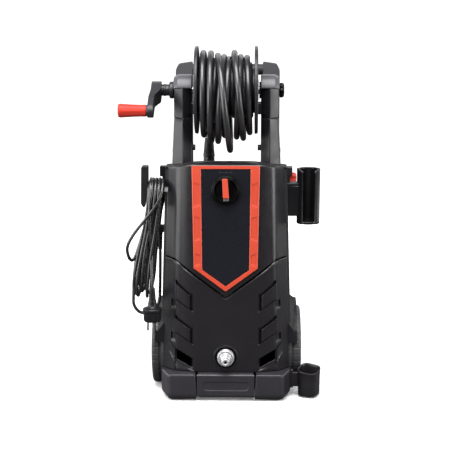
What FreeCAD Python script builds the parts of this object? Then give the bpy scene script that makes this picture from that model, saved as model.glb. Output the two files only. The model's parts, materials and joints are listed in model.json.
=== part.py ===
import FreeCAD, Part
import math
import os
import Sketcher

# Upright electric pressure washer with a hose reel on two columns.
# Lengths are in millimetres. The machine is drawn about its own mid-plane: X to the right,
# Y to the back, Z up, floor at Z = 0. mid_x and mid_y move it so that the origin is below
# the middle of the whole machine.

Vector = FreeCAD.Vector
Rotation = FreeCAD.Rotation
Placement = FreeCAD.Placement
ALONG_X = Rotation(Vector(0, 1, 0), 90)
ALONG_Y = Rotation(Vector(1, 0, 0), -90)
ALONG_Z = Rotation()

doc = FreeCAD.newDocument("pressure_washer")
sheet = doc.addObject("Spreadsheet::Sheet", "dims")
nodes = []

DIMENSIONS = (
    ("mid_x", 8.52, "shift that centres the machine in X"),
    ("mid_y", 0, "shift that centres the machine in Y"),
    ("gap", 0.5, "clearance between separate mouldings"),
    ("wall", 3, "thickness of the casing walls"),
    # casing
    ("case_low", 58, "bottom edge of the casing"),
    ("case_high", 495, "height where the upper casing section is drawn"),
    ("case_half_low", 136, "half width of the casing at its bottom edge"),
    ("case_half_high", 122.3, "half width of the casing at case_high"),
    ("crease_half_low", 105.5, "half distance between the front creases, bottom"),
    ("crease_half_high", 95, "half distance between the front creases, case_high"),
    ("face_half", 70, "half width of the flat front face"),
    ("front_low", 112, "front of the casing ahead of the mid-plane, bottom"),
    ("front_high", 105.3, "front of the casing ahead of the mid-plane, case_high"),
    ("front_groove", 120.5, "front of the upper cover at its lower end"),
    ("case_back", 126, "back of the casing"),
    ("seam_y", 76, "seam of front and rear covers ahead of the mid-plane"),
    ("groove_apex", 215, "lowest point of the V groove"),
    ("groove_side", 290, "height of the V groove at the creases"),
    ("groove_width", 3, "width of the V groove"),
    # chassis
    ("tray_low", 8, "underside of the chassis tray"),
    ("tray_high", 57, "top of the chassis tray"),
    ("tray_wall", 4, "thickness of the tray"),
    ("tray_half", 112, "half width of the tray"),
    ("tray_front", 126, "front of the tray ahead of the mid-plane"),
    ("tray_nose_half", 58, "half width of the front panel of the tray"),
    ("foot_front", 130, "front of the corner feet"),
    ("foot_back", 74, "back of the corner feet, ahead of the mid-plane"),
    ("foot_inner", 62, "inner side of the corner feet"),
    ("foot_outer", 134, "outer side of the corner feet"),
    ("foot_corner", 118, "where the corner feet start their slanted corner"),
    ("pad_thick", 3, "rubber pads under the corner feet"),
    # wheels
    ("wheel_y", 11, "wheel axle behind the mid-plane"),
    ("wheel_radius", 83, "outer radius of the tyres"),
    ("rim_radius", 66, "outer radius of the wheel rim"),
    ("wheel_inner", 118, "inner side of the wheels"),
    ("wheel_outer", 156, "outer side of the wheels"),
    ("stub_radius", 6, "wheel axle stubs"),
    ("arch_radius", 91, "inside of the wheel arches"),
    ("arch_half", 147, "outer side of the wheel arches"),
    # reel
    ("axle_y", 30, "reel axle ahead of the mid-plane"),
    ("axle_z", 627, "reel axle above the floor"),
    ("axle_radius", 8, "reel axle"),
    ("drum_radius", 46, "reel drum"),
    ("flange_radius", 88.5, "reel flanges"),
    ("flange_thick", 4, "thickness of the reel flanges"),
    ("reel_half", 57, "half width of the drum between the flanges"),
    ("coil_radius", 78, "outer radius of the wound hose"),
    ("running_gap", 0.06, "radial clearance of turning fits"),
    # columns and handle
    ("column_inner", 70, "inner side of the columns"),
    ("column_outer", 106, "outer side of the columns at their top"),
    ("column_foot", 113, "outer side of the columns at their bottom"),
    ("column_low", 430, "bottom of the columns"),
    ("column_high", 573, "top of the columns"),
    ("bracket_radius", 30, "rounded top of the reel brackets"),
    ("bush_radius", 13, "outer radius of the axle bushes"),
    ("post_inner", 75, "inner side of the handle posts"),
    ("post_outer", 111, "outer side of the handle posts"),
    ("post_front", 95, "front of the handle posts, behind the mid-plane"),
    ("post_depth", 22, "depth of the handle posts"),
    ("post_low", 262, "bottom of the handle posts"),
    ("post_high", 679, "top of the handle posts"),
    ("bar_radius", 12.2, "handle bar"),
    ("bar_z", 662, "handle bar above the floor"),
    # crank
    ("crank_inner", 132, "inner face of the crank hub"),
    ("crank_outer", 154, "outer face of the crank arm"),
    ("crank_y", 100, "crank pin ahead of the mid-plane"),
    ("crank_z", 591, "crank pin above the floor"),
    ("pin_radius", 5, "crank pin"),
    ("grip_end", 213.5, "outer end of the crank grip"),
    # front details
    ("knob_z", 433.7, "switch knob above the floor"),
    ("knob_radius", 29.5, "switch knob"),
    ("outlet_z", 89, "water outlet above the floor"),
    ("nipple_radius", 8, "plug-in nipple of the outlet"),
    ("nipple_front", 150, "front end of the outlet nipple"),
    ("recess_radius", 22, "recess around the outlet"),
    # accessories at the sides
    ("holder_x", 167, "middle of the gun holder"),
    ("holder_y", 55, "middle of the gun holder ahead of the mid-plane"),
    ("holder_radius", 23.7, "outer radius of the gun holder"),
    ("holder_low", 358, "bottom of the gun holder"),
    ("holder_high", 471, "top of the gun holder"),
    ("holder_wall", 3.5, "wall of the gun holder"),
    ("holder_slot", 30, "width of the slot of the gun holder"),
    ("cup_x", 171.5, "middle of the lance cup"),
    ("cup_y", 87, "middle of the lance cup ahead of the mid-plane"),
    ("cup_side", 43, "side of the lance cup"),
    ("cup_low", 3, "underside of the lance cup"),
    ("cup_high", 57, "rim of the lance cup"),
    ("hook_y", 62, "cable hook ahead of the mid-plane"),
    ("hook_z", 416, "centre of the curved saddle of the cable hook"),
    ("saddle_radius", 24, "curved top of the saddle"),
    ("hank_thick", 13, "thickness of the hank of cable"),
    # cords
    ("lead_radius", 3.25, "power lead"),
    ("hose_radius", 6, "hose"),
    # motor and pump
    ("motor_y", 15, "motor axis behind the mid-plane"),
    ("motor_radius", 62, "motor housing"),
    ("motor_low", 190, "bottom of the motor"),
    ("motor_high", 390, "top of the motor"),
    ("shaft_radius", 8, "motor shaft"),
    ("pump_radius", 55, "pump block"),
    ("pump_low", 62, "bottom of the pump"),
)


def fill_sheet():
    for row, (alias, number, meaning) in enumerate(DIMENSIONS, start=1):
        sheet.set(f"A{row}", meaning)
        sheet.set(f"B{row}", str(number))
        sheet.setAlias(f"B{row}", alias)
    doc.recompute()


def words(formula):
    """The terms of a sum such as '-mid_x + 4', each with its sign."""
    sign = 1
    for word in str(formula).replace("-", " - ").replace("+", " + ").split():
        if word in ("+", "-"):
            sign = 1 if word == "+" else -1
        else:
            yield sign, word
            sign = 1


def value(formula):
    total = 0.0
    for sign, word in words(formula):
        number = float(word) if word[0].isdigit() else float(sheet.get(word))
        total += sign * number
    return total


def expression(formula):
    text = ""
    for sign, word in words(formula):
        text += " + " if sign > 0 else " - "
        text += word if word[0].isdigit() else f"dims.{word}"
    return "0" + text


def bind(obj, name, formula):
    obj.setExpression(name, expression(formula))


def put(obj, x, y, z, turn=ALONG_Z):
    """Place an object, its position bound to the sheet."""
    obj.Placement = Placement(Vector(value(x), value(y), value(z)), turn)
    for axis, formula in zip("xyz", (x, y, z)):
        bind(obj, f"Placement.Base.{axis}", formula)
    return obj


def node(obj, label, x="mid_x", y="mid_y", z="0", turn=ALONG_Z):
    """Make an object one of the machine's pieces, moved from the mid-plane to the origin."""
    obj.Label = label
    put(obj, x, y, z, turn)
    nodes.append(obj)
    return obj


def box(name, length, width, height, x, y, z):
    obj = doc.addObject("Part::Box", name)
    bind(obj, "Length", length)
    bind(obj, "Width", width)
    bind(obj, "Height", height)
    return put(obj, x, y, z)


def rod(name, radius, length, x, y, z, turn=ALONG_Z):
    obj = doc.addObject("Part::Cylinder", name)
    bind(obj, "Radius", radius)
    bind(obj, "Height", length)
    return put(obj, x, y, z, turn)


def taper(name, radius_start, radius_end, length, x, y, z, turn=ALONG_Z):
    obj = doc.addObject("Part::Cone", name)
    bind(obj, "Radius1", radius_start)
    bind(obj, "Radius2", radius_end)
    bind(obj, "Height", length)
    return put(obj, x, y, z, turn)


def fuse(name, *pieces):
    obj = doc.addObject("Part::MultiFuse", name)
    obj.Shapes = list(pieces)
    return obj


def cut(name, base, *tools):
    obj = doc.addObject("Part::Cut", name)
    obj.Base = base
    obj.Tool = tools[0] if len(tools) == 1 else fuse(name + "_tools", *tools)
    return obj


def drawn(name, shape):
    """A piece whose shape is worked out with Part's own functions."""
    obj = doc.addObject("Part::Feature", name)
    obj.Shape = shape
    return obj


def sketch(body, role, loops):
    """A sketch of closed polygons, every corner bound to the sheet."""
    profile = body.newObject("Sketcher::SketchObject", f"{body.Name}_sketch")
    plane = next(item for item in body.Origin.OriginFeatures if item.Role == role)
    profile.AttachmentSupport = [(plane, "")]
    profile.MapMode = "FlatFace"
    for corners in loops:
        first = len(profile.Geometry)
        count = len(corners)
        points = [Vector(value(across), value(up), 0) for across, up in corners]
        for index, point in enumerate(points):
            profile.addGeometry(Part.LineSegment(point, points[(index + 1) % count]), False)
        for index in range(count):
            after = first + (index + 1) % count
            profile.addConstraint(Sketcher.Constraint("Coincident", first + index, 2, after, 1))
        for index, corner in enumerate(corners):
            for kind, axis, formula in zip(("DistanceX", "DistanceY"), (-2, -1), corner):
                number = value(formula)
                if abs(number) < 1e-6:
                    rule = Sketcher.Constraint("PointOnObject", first + index, 1, axis)
                    profile.addConstraint(rule)
                else:
                    rule = Sketcher.Constraint(kind, -1, 1, first + index, 1, number)
                    bind(profile, f"Constraints[{profile.addConstraint(rule)}]", formula)
    return profile


def turned(name, corners, axis="H_Axis"):
    """A body turned about X (H_Axis, corners are along and out) or Z (V_Axis, out and up)."""
    body = doc.addObject("PartDesign::Body", name)
    profile = sketch(body, "XZ_Plane", [corners])
    feature = body.newObject("PartDesign::Revolution", f"{name}_turned")
    feature.Profile = profile
    feature.ReferenceAxis = (profile, [axis])
    feature.Angle = 360
    return body


def plate(name, role, loops, thickness):
    """A body of one pad. From XZ_Plane it grows to the front, from XY_Plane it grows up."""
    body = doc.addObject("PartDesign::Body", name)
    profile = sketch(body, role, loops)
    feature = body.newObject("PartDesign::Pad", f"{name}_pad")
    feature.Profile = profile
    bind(feature, "Length", thickness)
    return body


def prism(points, direction):
    return Part.Face(Part.makePolygon(points + points[:1])).extrude(direction)


def between(low, high, at, start="case_low", end="case_high"):
    """A casing size at height `at`, on the straight line from its low to its high value."""
    share = (at - value(start)) / (value(end) - value(start))
    return value(low) + share * (value(high) - value(low))


def sides(side_name):
    return -1 if side_name == "left" else 1


HOSE_END = (-38.7, 51)


# ---------------------------------------------------------------- casing

def casing_outline(height, front, inset):
    """The plan outline of the casing at one height, moved in by `inset`."""
    half = between("case_half_low", "case_half_high", height) - inset
    crease = between("crease_half_low", "crease_half_high", height) - 0.8 * inset
    face = value("face_half") - 0.4 * inset
    back = value("case_back") - inset
    corner = 24
    right = [
        (face, -front + inset),
        (crease, -front + 9 + inset),
        (half, -70 + 0.5 * inset),
        (half, back - corner),
        (half - corner, back),
    ]
    left = [(-x, y) for x, y in reversed(right)]
    return [Vector(x, y, height) for x, y in right + left]


def casing_solid(low, high, front_low, front_high, inset):
    wires = []
    for height, front in ((low, front_low), (high, front_high)):
        points = casing_outline(height, front, inset)
        wires.append(Part.makePolygon(points + points[:1]))
    return Part.makeLoft(wires, True, True)


def roof(inset):
    """Everything below the casing's roof: a crest near the front, falling to the back."""
    side = [
        Vector(-150, -140, 0),
        Vector(-150, -140, 470 - inset),
        Vector(-150, -107, 482 - inset),
        Vector(-150, -90, 489 - inset),
        Vector(-150, -72, 487.5 - inset),
        Vector(-150, 0, 468.5 - inset),
        Vector(-150, 100, 455 - inset),
        Vector(-150, 140, 446 - inset),
        Vector(-150, 140, 0),
    ]
    front = [
        Vector(-150, -145, 0),
        Vector(-150, -145, 470 - inset),
        Vector(-96, -145, 480.5 - inset),
        Vector(-60, -145, 486 - inset),
        Vector(0, -145, 491.5 - inset),
        Vector(60, -145, 486 - inset),
        Vector(96, -145, 480.5 - inset),
        Vector(150, -145, 470 - inset),
        Vector(150, -145, 0),
    ]
    return prism(side, Vector(300, 0, 0)).common(prism(front, Vector(0, 290, 0)))


def upper_block(inset):
    low = 190
    solid = casing_solid(low, 495, value("front_groove") + 0.8, value("front_high"), inset)
    return solid.common(roof(inset))


def lower_block(inset):
    low = value("case_low") - (5 if inset else 0)
    return casing_solid(low, 310, value("front_low"), value("front_low") + 6, inset)


def rear_block(inset):
    low = value("case_low") - (5 if inset else 0)
    return casing_solid(low, 495, value("front_low"), value("front_high"), inset).common(roof(inset))


def groove_line(offset):
    """The V groove seen from the front, moved up by `offset`."""
    side_z = value("groove_side") + offset
    crease = 102
    return [
        Vector(-160, -150, side_z + 4),
        Vector(-crease, -150, side_z),
        Vector(0, -150, value("groove_apex") + offset),
        Vector(crease, -150, side_z),
        Vector(160, -150, side_z + 4),
    ]


def front_of_seam(offset):
    return Part.makeBox(320, 150 - value("seam_y") - offset, 600, Vector(-160, -150, 0))


def upper_front_cover():
    region = groove_line(value("groove_width")) + [Vector(160, -150, 520), Vector(-160, -150, 520)]
    shell = upper_block(0).cut(upper_block(value("wall")))
    shape = shell.common(prism(region, Vector(0, 100, 0))).common(front_of_seam(value("gap")))
    spindle_hole = Part.makeCylinder(7, 60, Vector(0, -130, value("knob_z")), Vector(0, 1, 0))
    node(drawn("upper_front_cover", shape.cut(spindle_hole)), "upper_front_cover")


def vent(side):
    """A slanted ventilation window near the foot of the lower front cover."""
    corners = [(103, 112), (70, 90), (72, 67), (103, 86)]
    return prism([Vector(side * x, -140, z) for x, z in corners], Vector(0, 50, 0))


def lower_front_cover():
    region = groove_line(0) + [Vector(160, -150, 0), Vector(-160, -150, 0)]
    shell = lower_block(0).cut(lower_block(value("wall")))
    shape = shell.common(prism(region, Vector(0, 100, 0))).common(front_of_seam(value("gap")))
    centre = Vector(0, -140, value("outlet_z"))
    radius = value("recess_radius")
    recess_wall = Part.makeCylinder(radius + 2.5, 44, centre, Vector(0, 1, 0))
    recess_wall = recess_wall.common(lower_block(0))
    recess_wall = recess_wall.cut(Part.makeCylinder(radius, 40, centre, Vector(0, 1, 0)))
    shape = shape.cut(Part.makeCylinder(radius, 40, centre, Vector(0, 1, 0))).fuse(recess_wall)
    shape = shape.cut(Part.makeCylinder(12, 60, centre, Vector(0, 1, 0)))
    for side in (-1, 1):
        shape = shape.cut(vent(side))
    node(drawn("lower_front_cover", shape.removeSplitter()), "lower_front_cover")


def wheel_cylinder(side, radius, start, end):
    centre = Vector(side * start, value("wheel_y"), value("wheel_radius"))
    return Part.makeCylinder(radius, end - start, centre, Vector(side, 0, 0))


def post_socket(side, clearance):
    """The upright box that a handle post slides in."""
    width = value("post_outer") - value("post_inner") + 2 * clearance
    depth = value("post_depth") + 2 * clearance
    x = value("post_inner") - clearance
    corner_x = x if side > 0 else -x - width
    corner = Vector(corner_x, value("post_front") - clearance, 240)
    return Part.makeBox(width, depth, 260, corner)


def column_section(side, height, clearance):
    share = (height - value("column_low")) / (value("column_high") - value("column_low"))
    outer = value("column_foot") + share * (value("column_outer") - value("column_foot"))
    corners = [
        (value("column_inner") - clearance, -54 - clearance),
        (87, -65 - clearance),
        (outer + clearance, -52 - clearance),
        (outer + clearance, -14 + clearance),
        (value("column_inner") - clearance, -14 + clearance),
    ]
    points = [Vector(side * x, y, height) for x, y in corners]
    return Part.makePolygon(points + points[:1])


def column_solid(side, clearance):
    wires = [column_section(side, value(end), clearance) for end in ("column_low", "column_high")]
    return Part.makeLoft(wires, True, True)


def rear_cover():
    outer = rear_block(0)
    inner = rear_block(value("wall"))
    behind = Part.makeBox(320, 260, 600, Vector(-160, -value("seam_y"), 0))
    above_arch_foot = Part.makeBox(320, 300, 600, Vector(-160, -150, 46))
    arch = value("arch_radius")
    half = value("arch_half")
    for side in (-1, 1):
        fender = wheel_cylinder(side, arch + 9, 100, half)
        shoulder_start = Vector(side * 124, value("wheel_y"), value("wheel_radius"))
        shoulder = Part.makeCone(arch + 23, arch + 9, 18, shoulder_start, Vector(side, 0, 0))
        outer = outer.fuse(fender.common(above_arch_foot)).fuse(shoulder.common(above_arch_foot))
        inner = inner.cut(wheel_cylinder(side, arch + 3, 109, 160))
    shape = outer.cut(inner)
    for side in (-1, 1):
        shape = shape.cut(wheel_cylinder(side, arch, 112, 160))
        sleeve = post_socket(side, 3.5)
        shape = shape.fuse(sleeve.common(inner.cut(post_socket(side, value("gap")))))
        shape = shape.cut(post_socket(side, value("gap")))
        shape = shape.cut(column_solid(side, 0.2))
        stub = wheel_cylinder(side, value("stub_radius"), 100, 114)
        shape = shape.cut(stub)
    shape = shape.common(behind)
    tray_top = value("tray_high") + 0.5
    over_tray = prism([Vector(x, y, 0) for x, y in tray_outline(-0.5)], Vector(0, 0, tray_top))
    over_feet = Part.makeBox(320, 77, tray_top, Vector(-160, -150, 0))
    shape = shape.cut(over_tray).cut(over_feet)
    inlet = Part.makeCylinder(14, 20, Vector(0, 115, value("outlet_z")), Vector(0, 1, 0))
    lock = Part.makeCylinder(5, 40, Vector(100, 106, 428), Vector(1, 0, 0))
    coupling = Part.makeCylinder(8, 50, Vector(HOSE_END[0], HOSE_END[1], 440), Vector(0, 0, 1))
    shape = shape.cut(inlet).cut(lock).cut(coupling)
    node(drawn("rear_cover", shape.removeSplitter()), "rear_cover")


# ---------------------------------------------------------------- chassis

def tray_outline(inset):
    right = [
        (value("tray_nose_half") - inset, -value("tray_front") + inset),
        (value("tray_nose_half") - inset, -72 + inset),
        (value("tray_half") - inset, -72 + inset),
        (value("tray_half") - inset, 100 - inset),
        (95 - inset, 122 - inset),
    ]
    return [(x, y) for x, y in right] + [(-x, y) for x, y in reversed(right)]


def base_tray():
    low = value("tray_low")
    high = value("tray_high")
    wall = value("tray_wall")
    outside = [Vector(x, y, low) for x, y in tray_outline(0)]
    inside = [Vector(x, y, low + wall) for x, y in tray_outline(wall)]
    shape = prism(outside, Vector(0, 0, high - low)).cut(prism(inside, Vector(0, 0, high)))
    wheel_z = value("wheel_radius")
    for side in (-1, 1):
        lug_x = 92 if side > 0 else -108
        lug = Part.makeBox(16, 32, wheel_z + 17 - low, Vector(lug_x, value("wheel_y") - 16, low))
        bore = Part.makeCylinder(
            value("stub_radius"), 40, Vector(side * 80, value("wheel_y"), wheel_z), Vector(side, 0, 0)
        )
        shape = shape.fuse(lug).cut(bore)
    for x in (-34, 34):
        for y in (-15, 45):
            pillar = Part.makeCylinder(9, value("pump_low") - low, Vector(x, y, low))
            shape = shape.fuse(pillar)
    node(drawn("base_tray", shape.removeSplitter()), "base_tray")


def foot_corners(side):
    flip = "" if side > 0 else "-"
    front = ("foot_inner", "foot_corner", "foot_outer", "foot_outer", "foot_inner")
    depth = ("-foot_front", "-foot_front", "-88", "-foot_back", "-foot_back")
    return [(flip + x, y) for x, y in zip(front, depth)]


def front_foot(side_name):
    side = sides(side_name)
    name = f"front_foot_{side_name}"
    body = plate(name, "XY_Plane", [foot_corners(side)], "tray_high - pad_thick")
    doc.recompute()
    base = body.Tip
    edges = []
    for index, edge in enumerate(base.Shape.Edges, start=1):
        box_ = edge.BoundBox
        level = box_.ZLength < 0.01
        lowest = box_.ZMin < 0.01
        if level and lowest and abs(box_.YMax + value("foot_back")) > 1 and box_.XLength > 1:
            edges.append(f"Edge{index}")
    edge_break = body.newObject("PartDesign::Chamfer", f"{name}_chamfer")
    edge_break.Base = (base, edges)
    edge_break.Size = 7
    node(body, name, z="pad_thick")


def rubber_feet():
    pads = []
    for side_name in ("left", "right"):
        x = "82" if side_name == "right" else "-112"
        pads.append(box(f"foot_pad_{side_name}", 30, 34, "pad_thick", x, "-116", 0))
    compound = doc.addObject("Part::Compound", "rubber_feet")
    compound.Links = pads
    node(compound, "rubber_feet")


# ---------------------------------------------------------------- control panel

def front_lean():
    """The turn that lays a plate drawn upright against the leaning upper cover."""
    rise = value("case_high") - 190
    run = value("front_groove") + 0.8 - value("front_high")
    return Rotation(Vector(1, 0, 0), -math.degrees(math.atan2(run, rise)))


def front_y(height):
    """Y of the upper cover's flat front at a height."""
    share = (height - 190) / (value("case_high") - 190)
    start = value("front_groove") + 0.8
    return -(start + share * (value("front_high") - start))


def on_front(obj, label, height, proud):
    """Place a piece drawn about its own origin on the leaning front, `proud` of it."""
    turn = front_lean()
    point = Vector(0, front_y(height), height) + turn.multVec(Vector(0, -proud, 0))
    node(obj, label, "mid_x", f"mid_y - {-point.y:.4f}", f"{point.z:.4f}", turn)


PANEL_TOP = 476 - 433.7
PANEL = [("-49.5", f"{PANEL_TOP}"), ("49.5", f"{PANEL_TOP}"), ("47.2", "-160.5"), ("0", "-194"),
         ("-47.2", "-160.5")]
TRIM = [("-68", "48.5"), ("68", "48.5"), ("64.2", "-157.5"), ("0", "-204.5"), ("-64.2", "-157.5")]


def control_panel():
    body = plate("control_panel", "XZ_Plane", [PANEL], 2.4)
    doc.recompute()
    hole = body.newObject("Sketcher::SketchObject", "spindle_hole_sketch")
    plane = next(item for item in body.Origin.OriginFeatures if item.Role == "XZ_Plane")
    hole.AttachmentSupport = [(plane, "")]
    hole.MapMode = "FlatFace"
    hole.addGeometry(Part.Circle(Vector(0, 0, 0), Vector(0, 0, 1), 7), False)
    hole.addConstraint(Sketcher.Constraint("Coincident", 0, 3, -1, 1))
    hole.addConstraint(Sketcher.Constraint("Radius", 0, 7))
    pocket = body.newObject("PartDesign::Pocket", "spindle_hole")
    pocket.Profile = hole
    pocket.Type = 1
    pocket.Midplane = True
    on_front(body, "control_panel", value("knob_z"), 0)


def trim_frame():
    body = plate("trim_frame", "XZ_Plane", [TRIM, PANEL], 4)
    on_front(body, "trim_frame", value("knob_z"), 0)


def switch_knob():
    disc = rod("knob_disc", "knob_radius", 8, 0, "-8", 0, ALONG_Y)
    rim = rod("knob_rim", "knob_radius - 5", 3, 0, "-11", 0, ALONG_Y)
    bar = box("knob_bar", 15, 9, 52, "-7.5", "-19", "-26")
    spindle = rod("knob_spindle", 4, 22, 0, 0, 0, ALONG_Y)
    on_front(fuse("switch_knob", disc, rim, bar, spindle), "switch_knob", value("knob_z"), 2.7)


def knob_pointer():
    insert = box("knob_insert", 11, 1.2, 46, "-5.5", "-20.2", "-20")
    on_front(fuse("knob_pointer", insert, box("knob_insert_foot", 7, 1.2, 10, "-3.5", "-20.2", "-24")),
             "knob_pointer", value("knob_z"), 2.7)


def switch_box():
    case = box("switch_case", 46, 34, 50, "-23", "8", "-25")
    bore = rod("switch_bore", "4 + running_gap", 16, 0, "7", 0, ALONG_Y)
    on_front(cut("switch_box", case, bore), "switch_box", value("knob_z"), 2.7)


# ---------------------------------------------------------------- columns and handle

def column(side_name):
    side = sides(side_name)
    shape = column_solid(side, 0)
    hole = Part.makeCylinder(3, 24, Vector(side * 60, -36, 511), Vector(side, 0, 0))
    node(drawn(f"column_{side_name}", shape.cut(hole)), f"column_{side_name}")


def column_bolts():
    bolts = []
    for side_name in ("left", "right"):
        side = sides(side_name)
        turn = ALONG_X if side > 0 else Rotation(Vector(0, 1, 0), -90)
        start = "63.5" if side > 0 else "-63.5"
        head = rod(f"bolt_head_{side_name}", 6, 6.5, start, "-36", 511, turn)
        shank = rod(f"bolt_shank_{side_name}", 3, 20.5, start, "-36", 511, turn)
        bolts.append(fuse(f"bolt_{side_name}", head, shank))
    compound = doc.addObject("Part::Compound", "column_bolts")
    compound.Links = bolts
    node(compound, "column_bolts")


def reel_bracket(side_name):
    """The top of a column: a cheek with a rounded head that carries the axle bush."""
    side = sides(side_name)
    radius = value("bracket_radius")
    low = value("column_high")
    y = -value("axle_y")
    z = value("axle_z")
    inner = value("column_inner")
    thick = value("column_outer") - inner
    start = side * inner
    out = Vector(side * thick, 0, 0)
    cheek = prism([Vector(start, y + dy, dz) for dy, dz in
                   ((-30, z), (-28, low), (14, low), (30, z))], out)
    head = Part.makeCylinder(radius, thick, Vector(start, y, z), Vector(side, 0, 0))
    lug = Part.makeBox(6, 34, 26, Vector(start - (6 if side > 0 else 0), y - 17, low + 5))
    bore = Part.makeCylinder(value("bush_radius"), 80, Vector(side * 50, y, z), Vector(side, 0, 0))
    shape = cheek.fuse(head).fuse(lug).cut(bore)
    node(drawn(f"reel_bracket_{side_name}", shape.removeSplitter()), f"reel_bracket_{side_name}")


def axle_bushes():
    bushes = []
    for side_name in ("left", "right"):
        start = "column_inner" if side_name == "right" else "-column_outer"
        ring = rod(f"bush_{side_name}", "bush_radius", "column_outer - column_inner", start,
                   "-axle_y", "axle_z", ALONG_X)
        bore = rod(f"bush_bore_{side_name}", "axle_radius + running_gap", 60, start + " - 10",
                   "-axle_y", "axle_z", ALONG_X)
        bushes.append(cut(f"bush_ring_{side_name}", ring, bore))
    compound = doc.addObject("Part::Compound", "axle_bushes")
    compound.Links = bushes
    node(compound, "axle_bushes")


def handle_post(side_name):
    """A sliding post of the handle, its outer top corner cut off."""
    flip = "" if side_name == "right" else "-"
    back = "- 12" if side_name == "right" else "+ 12"
    corners = [(flip + "post_inner", "post_low"), (flip + "post_outer", "post_low"),
               (flip + "post_outer", "post_high - 12"), (f"{flip}post_outer {back}", "post_high"),
               (flip + "post_inner", "post_high")]
    body = plate(f"handle_post_{side_name}", "XZ_Plane", [corners], "post_depth")
    node(body, f"handle_post_{side_name}", y="mid_y + post_front + post_depth")


def handle_bar():
    bar = rod("handle_tube", "bar_radius", "post_inner + post_inner", "-post_inner",
              "post_front + 11", "bar_z", ALONG_X)
    node(fuse("handle_bar", bar, rod("handle_bar_band", "bar_radius + 0.8", 90, "-45",
                                     "post_front + 11", "bar_z", ALONG_X)), "handle_bar")


def handle_lock_knob():
    stem = rod("lock_stem", 4.5, 20, "115", "106", 428, ALONG_X)
    head = taper("lock_head", 10, 8.5, 14.5, "135", "106", 428, ALONG_X)
    wings = box("lock_wings", 9, 26, 5, "138", "93", "425.5")
    node(fuse("handle_lock_knob", stem, head, wings), "handle_lock_knob")


# ---------------------------------------------------------------- reel

def reel_axle():
    node(rod("reel_axle", "axle_radius", "column_outer + column_outer + 1.5",
             0, 0, 0, ALONG_X), "reel_axle", "mid_x - column_outer - 0.5", "mid_y - axle_y",
         "axle_z", ALONG_X)


def reel_flange(side_name):
    """A flange with a rolled rim and a raised hub, turned about the axle."""
    flip = "" if side_name == "right" else "-"
    more = " + " if side_name == "right" else " - "
    corners = [(f"{flip}reel_half", "axle_radius"), (f"{flip}reel_half", "flange_radius"),
               (f"{flip}reel_half{more}5", "flange_radius"),
               (f"{flip}reel_half{more}5", "flange_radius - 5"),
               (f"{flip}reel_half{more}flange_thick", "flange_radius - 6"),
               (f"{flip}reel_half{more}flange_thick", "22"), (f"{flip}reel_half{more}8", "18"),
               (f"{flip}reel_half{more}8", "axle_radius")]
    node(turned(f"reel_flange_{side_name}", corners), f"reel_flange_{side_name}",
         y="mid_y - axle_y", z="axle_z")


def reel_drum():
    corners = [("-reel_half", "drum_radius - 3"), ("-reel_half", "drum_radius"),
               ("reel_half", "drum_radius"), ("reel_half", "drum_radius - 3")]
    node(turned("reel_drum", corners), "reel_drum", y="mid_y - axle_y", z="axle_z")


def axle_knob():
    """A lobed hand knob on the right end of the axle."""
    pieces = [rod("knob_core", 12, 10, "107", "-axle_y", "axle_z", ALONG_X)]
    for index in range(8):
        turn = index * math.pi / 4
        y = f"-axle_y {'+' if math.cos(turn) >= 0 else '-'} {abs(11.5 * math.cos(turn)):.4f}"
        z = f"axle_z {'+' if math.sin(turn) >= 0 else '-'} {abs(11.5 * math.sin(turn)):.4f}"
        pieces.append(rod(f"knob_lobe_{index}", 3.6, 9, "107", y, z, ALONG_X))
    node(fuse("axle_knob", *pieces), "axle_knob")


def crank_arm():
    """A hub on the axle and a flat arm that reaches forward and down to the crank pin."""
    y = -value("axle_y")
    z = value("axle_z")
    reach = Vector(0, -value("crank_y") - y, value("crank_z") - z)
    along = Vector(reach).normalize()
    across = Vector(0, -along.z, along.y)
    hub_x = -value("crank_inner")
    collar = Part.makeCylinder(17, 8.5, Vector(-115, y, z), Vector(1, 0, 0))
    neck = Part.makeCylinder(12, -115 - hub_x, Vector(hub_x, y, z), Vector(1, 0, 0))
    hub = Part.makeCylinder(17.5, 17, Vector(hub_x, y, z), Vector(-1, 0, 0))
    outer = -value("crank_outer")
    start = Vector(outer, y, z)
    pin = start + reach
    arm = prism([start + across * 16, pin + across * 11.5, pin - across * 11.5, start - across * 16],
                Vector(11, 0, 0))
    tip = Part.makeCylinder(11.5, 11, pin, Vector(1, 0, 0))
    root_end = Part.makeCylinder(16, 11, start, Vector(1, 0, 0))
    shape = collar.fuse([neck, hub, arm, tip, root_end])
    socket = Part.makeCylinder(value("pin_radius"), 8, pin, Vector(1, 0, 0))
    node(drawn("crank_arm", shape.cut(socket).removeSplitter()), "crank_arm")


def crank_pin():
    pin = rod("crank_rod", "pin_radius", "grip_end - crank_outer + 4", "-grip_end + 4", "-crank_y",
              "crank_z", ALONG_X)
    node(fuse("crank_pin", pin, rod("crank_pin_head", 7.5, 3, "-grip_end + 4", "-crank_y", "crank_z",
                                    ALONG_X)), "crank_pin")


def crank_grip():
    """A tapered grip that turns on the crank pin."""
    bore = "pin_radius + running_gap"
    corners = [("-crank_outer - 1", bore), ("-crank_outer - 1", "12"), ("-grip_end + 8", "14"),
               ("-grip_end + 2", "12.5"), ("-grip_end", "9.5"), ("-grip_end", "8"),
               ("-grip_end + 7.5", "8"), ("-grip_end + 7.5", bore)]
    node(turned("crank_grip", corners), "crank_grip", y="mid_y - crank_y", z="crank_z")


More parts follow.
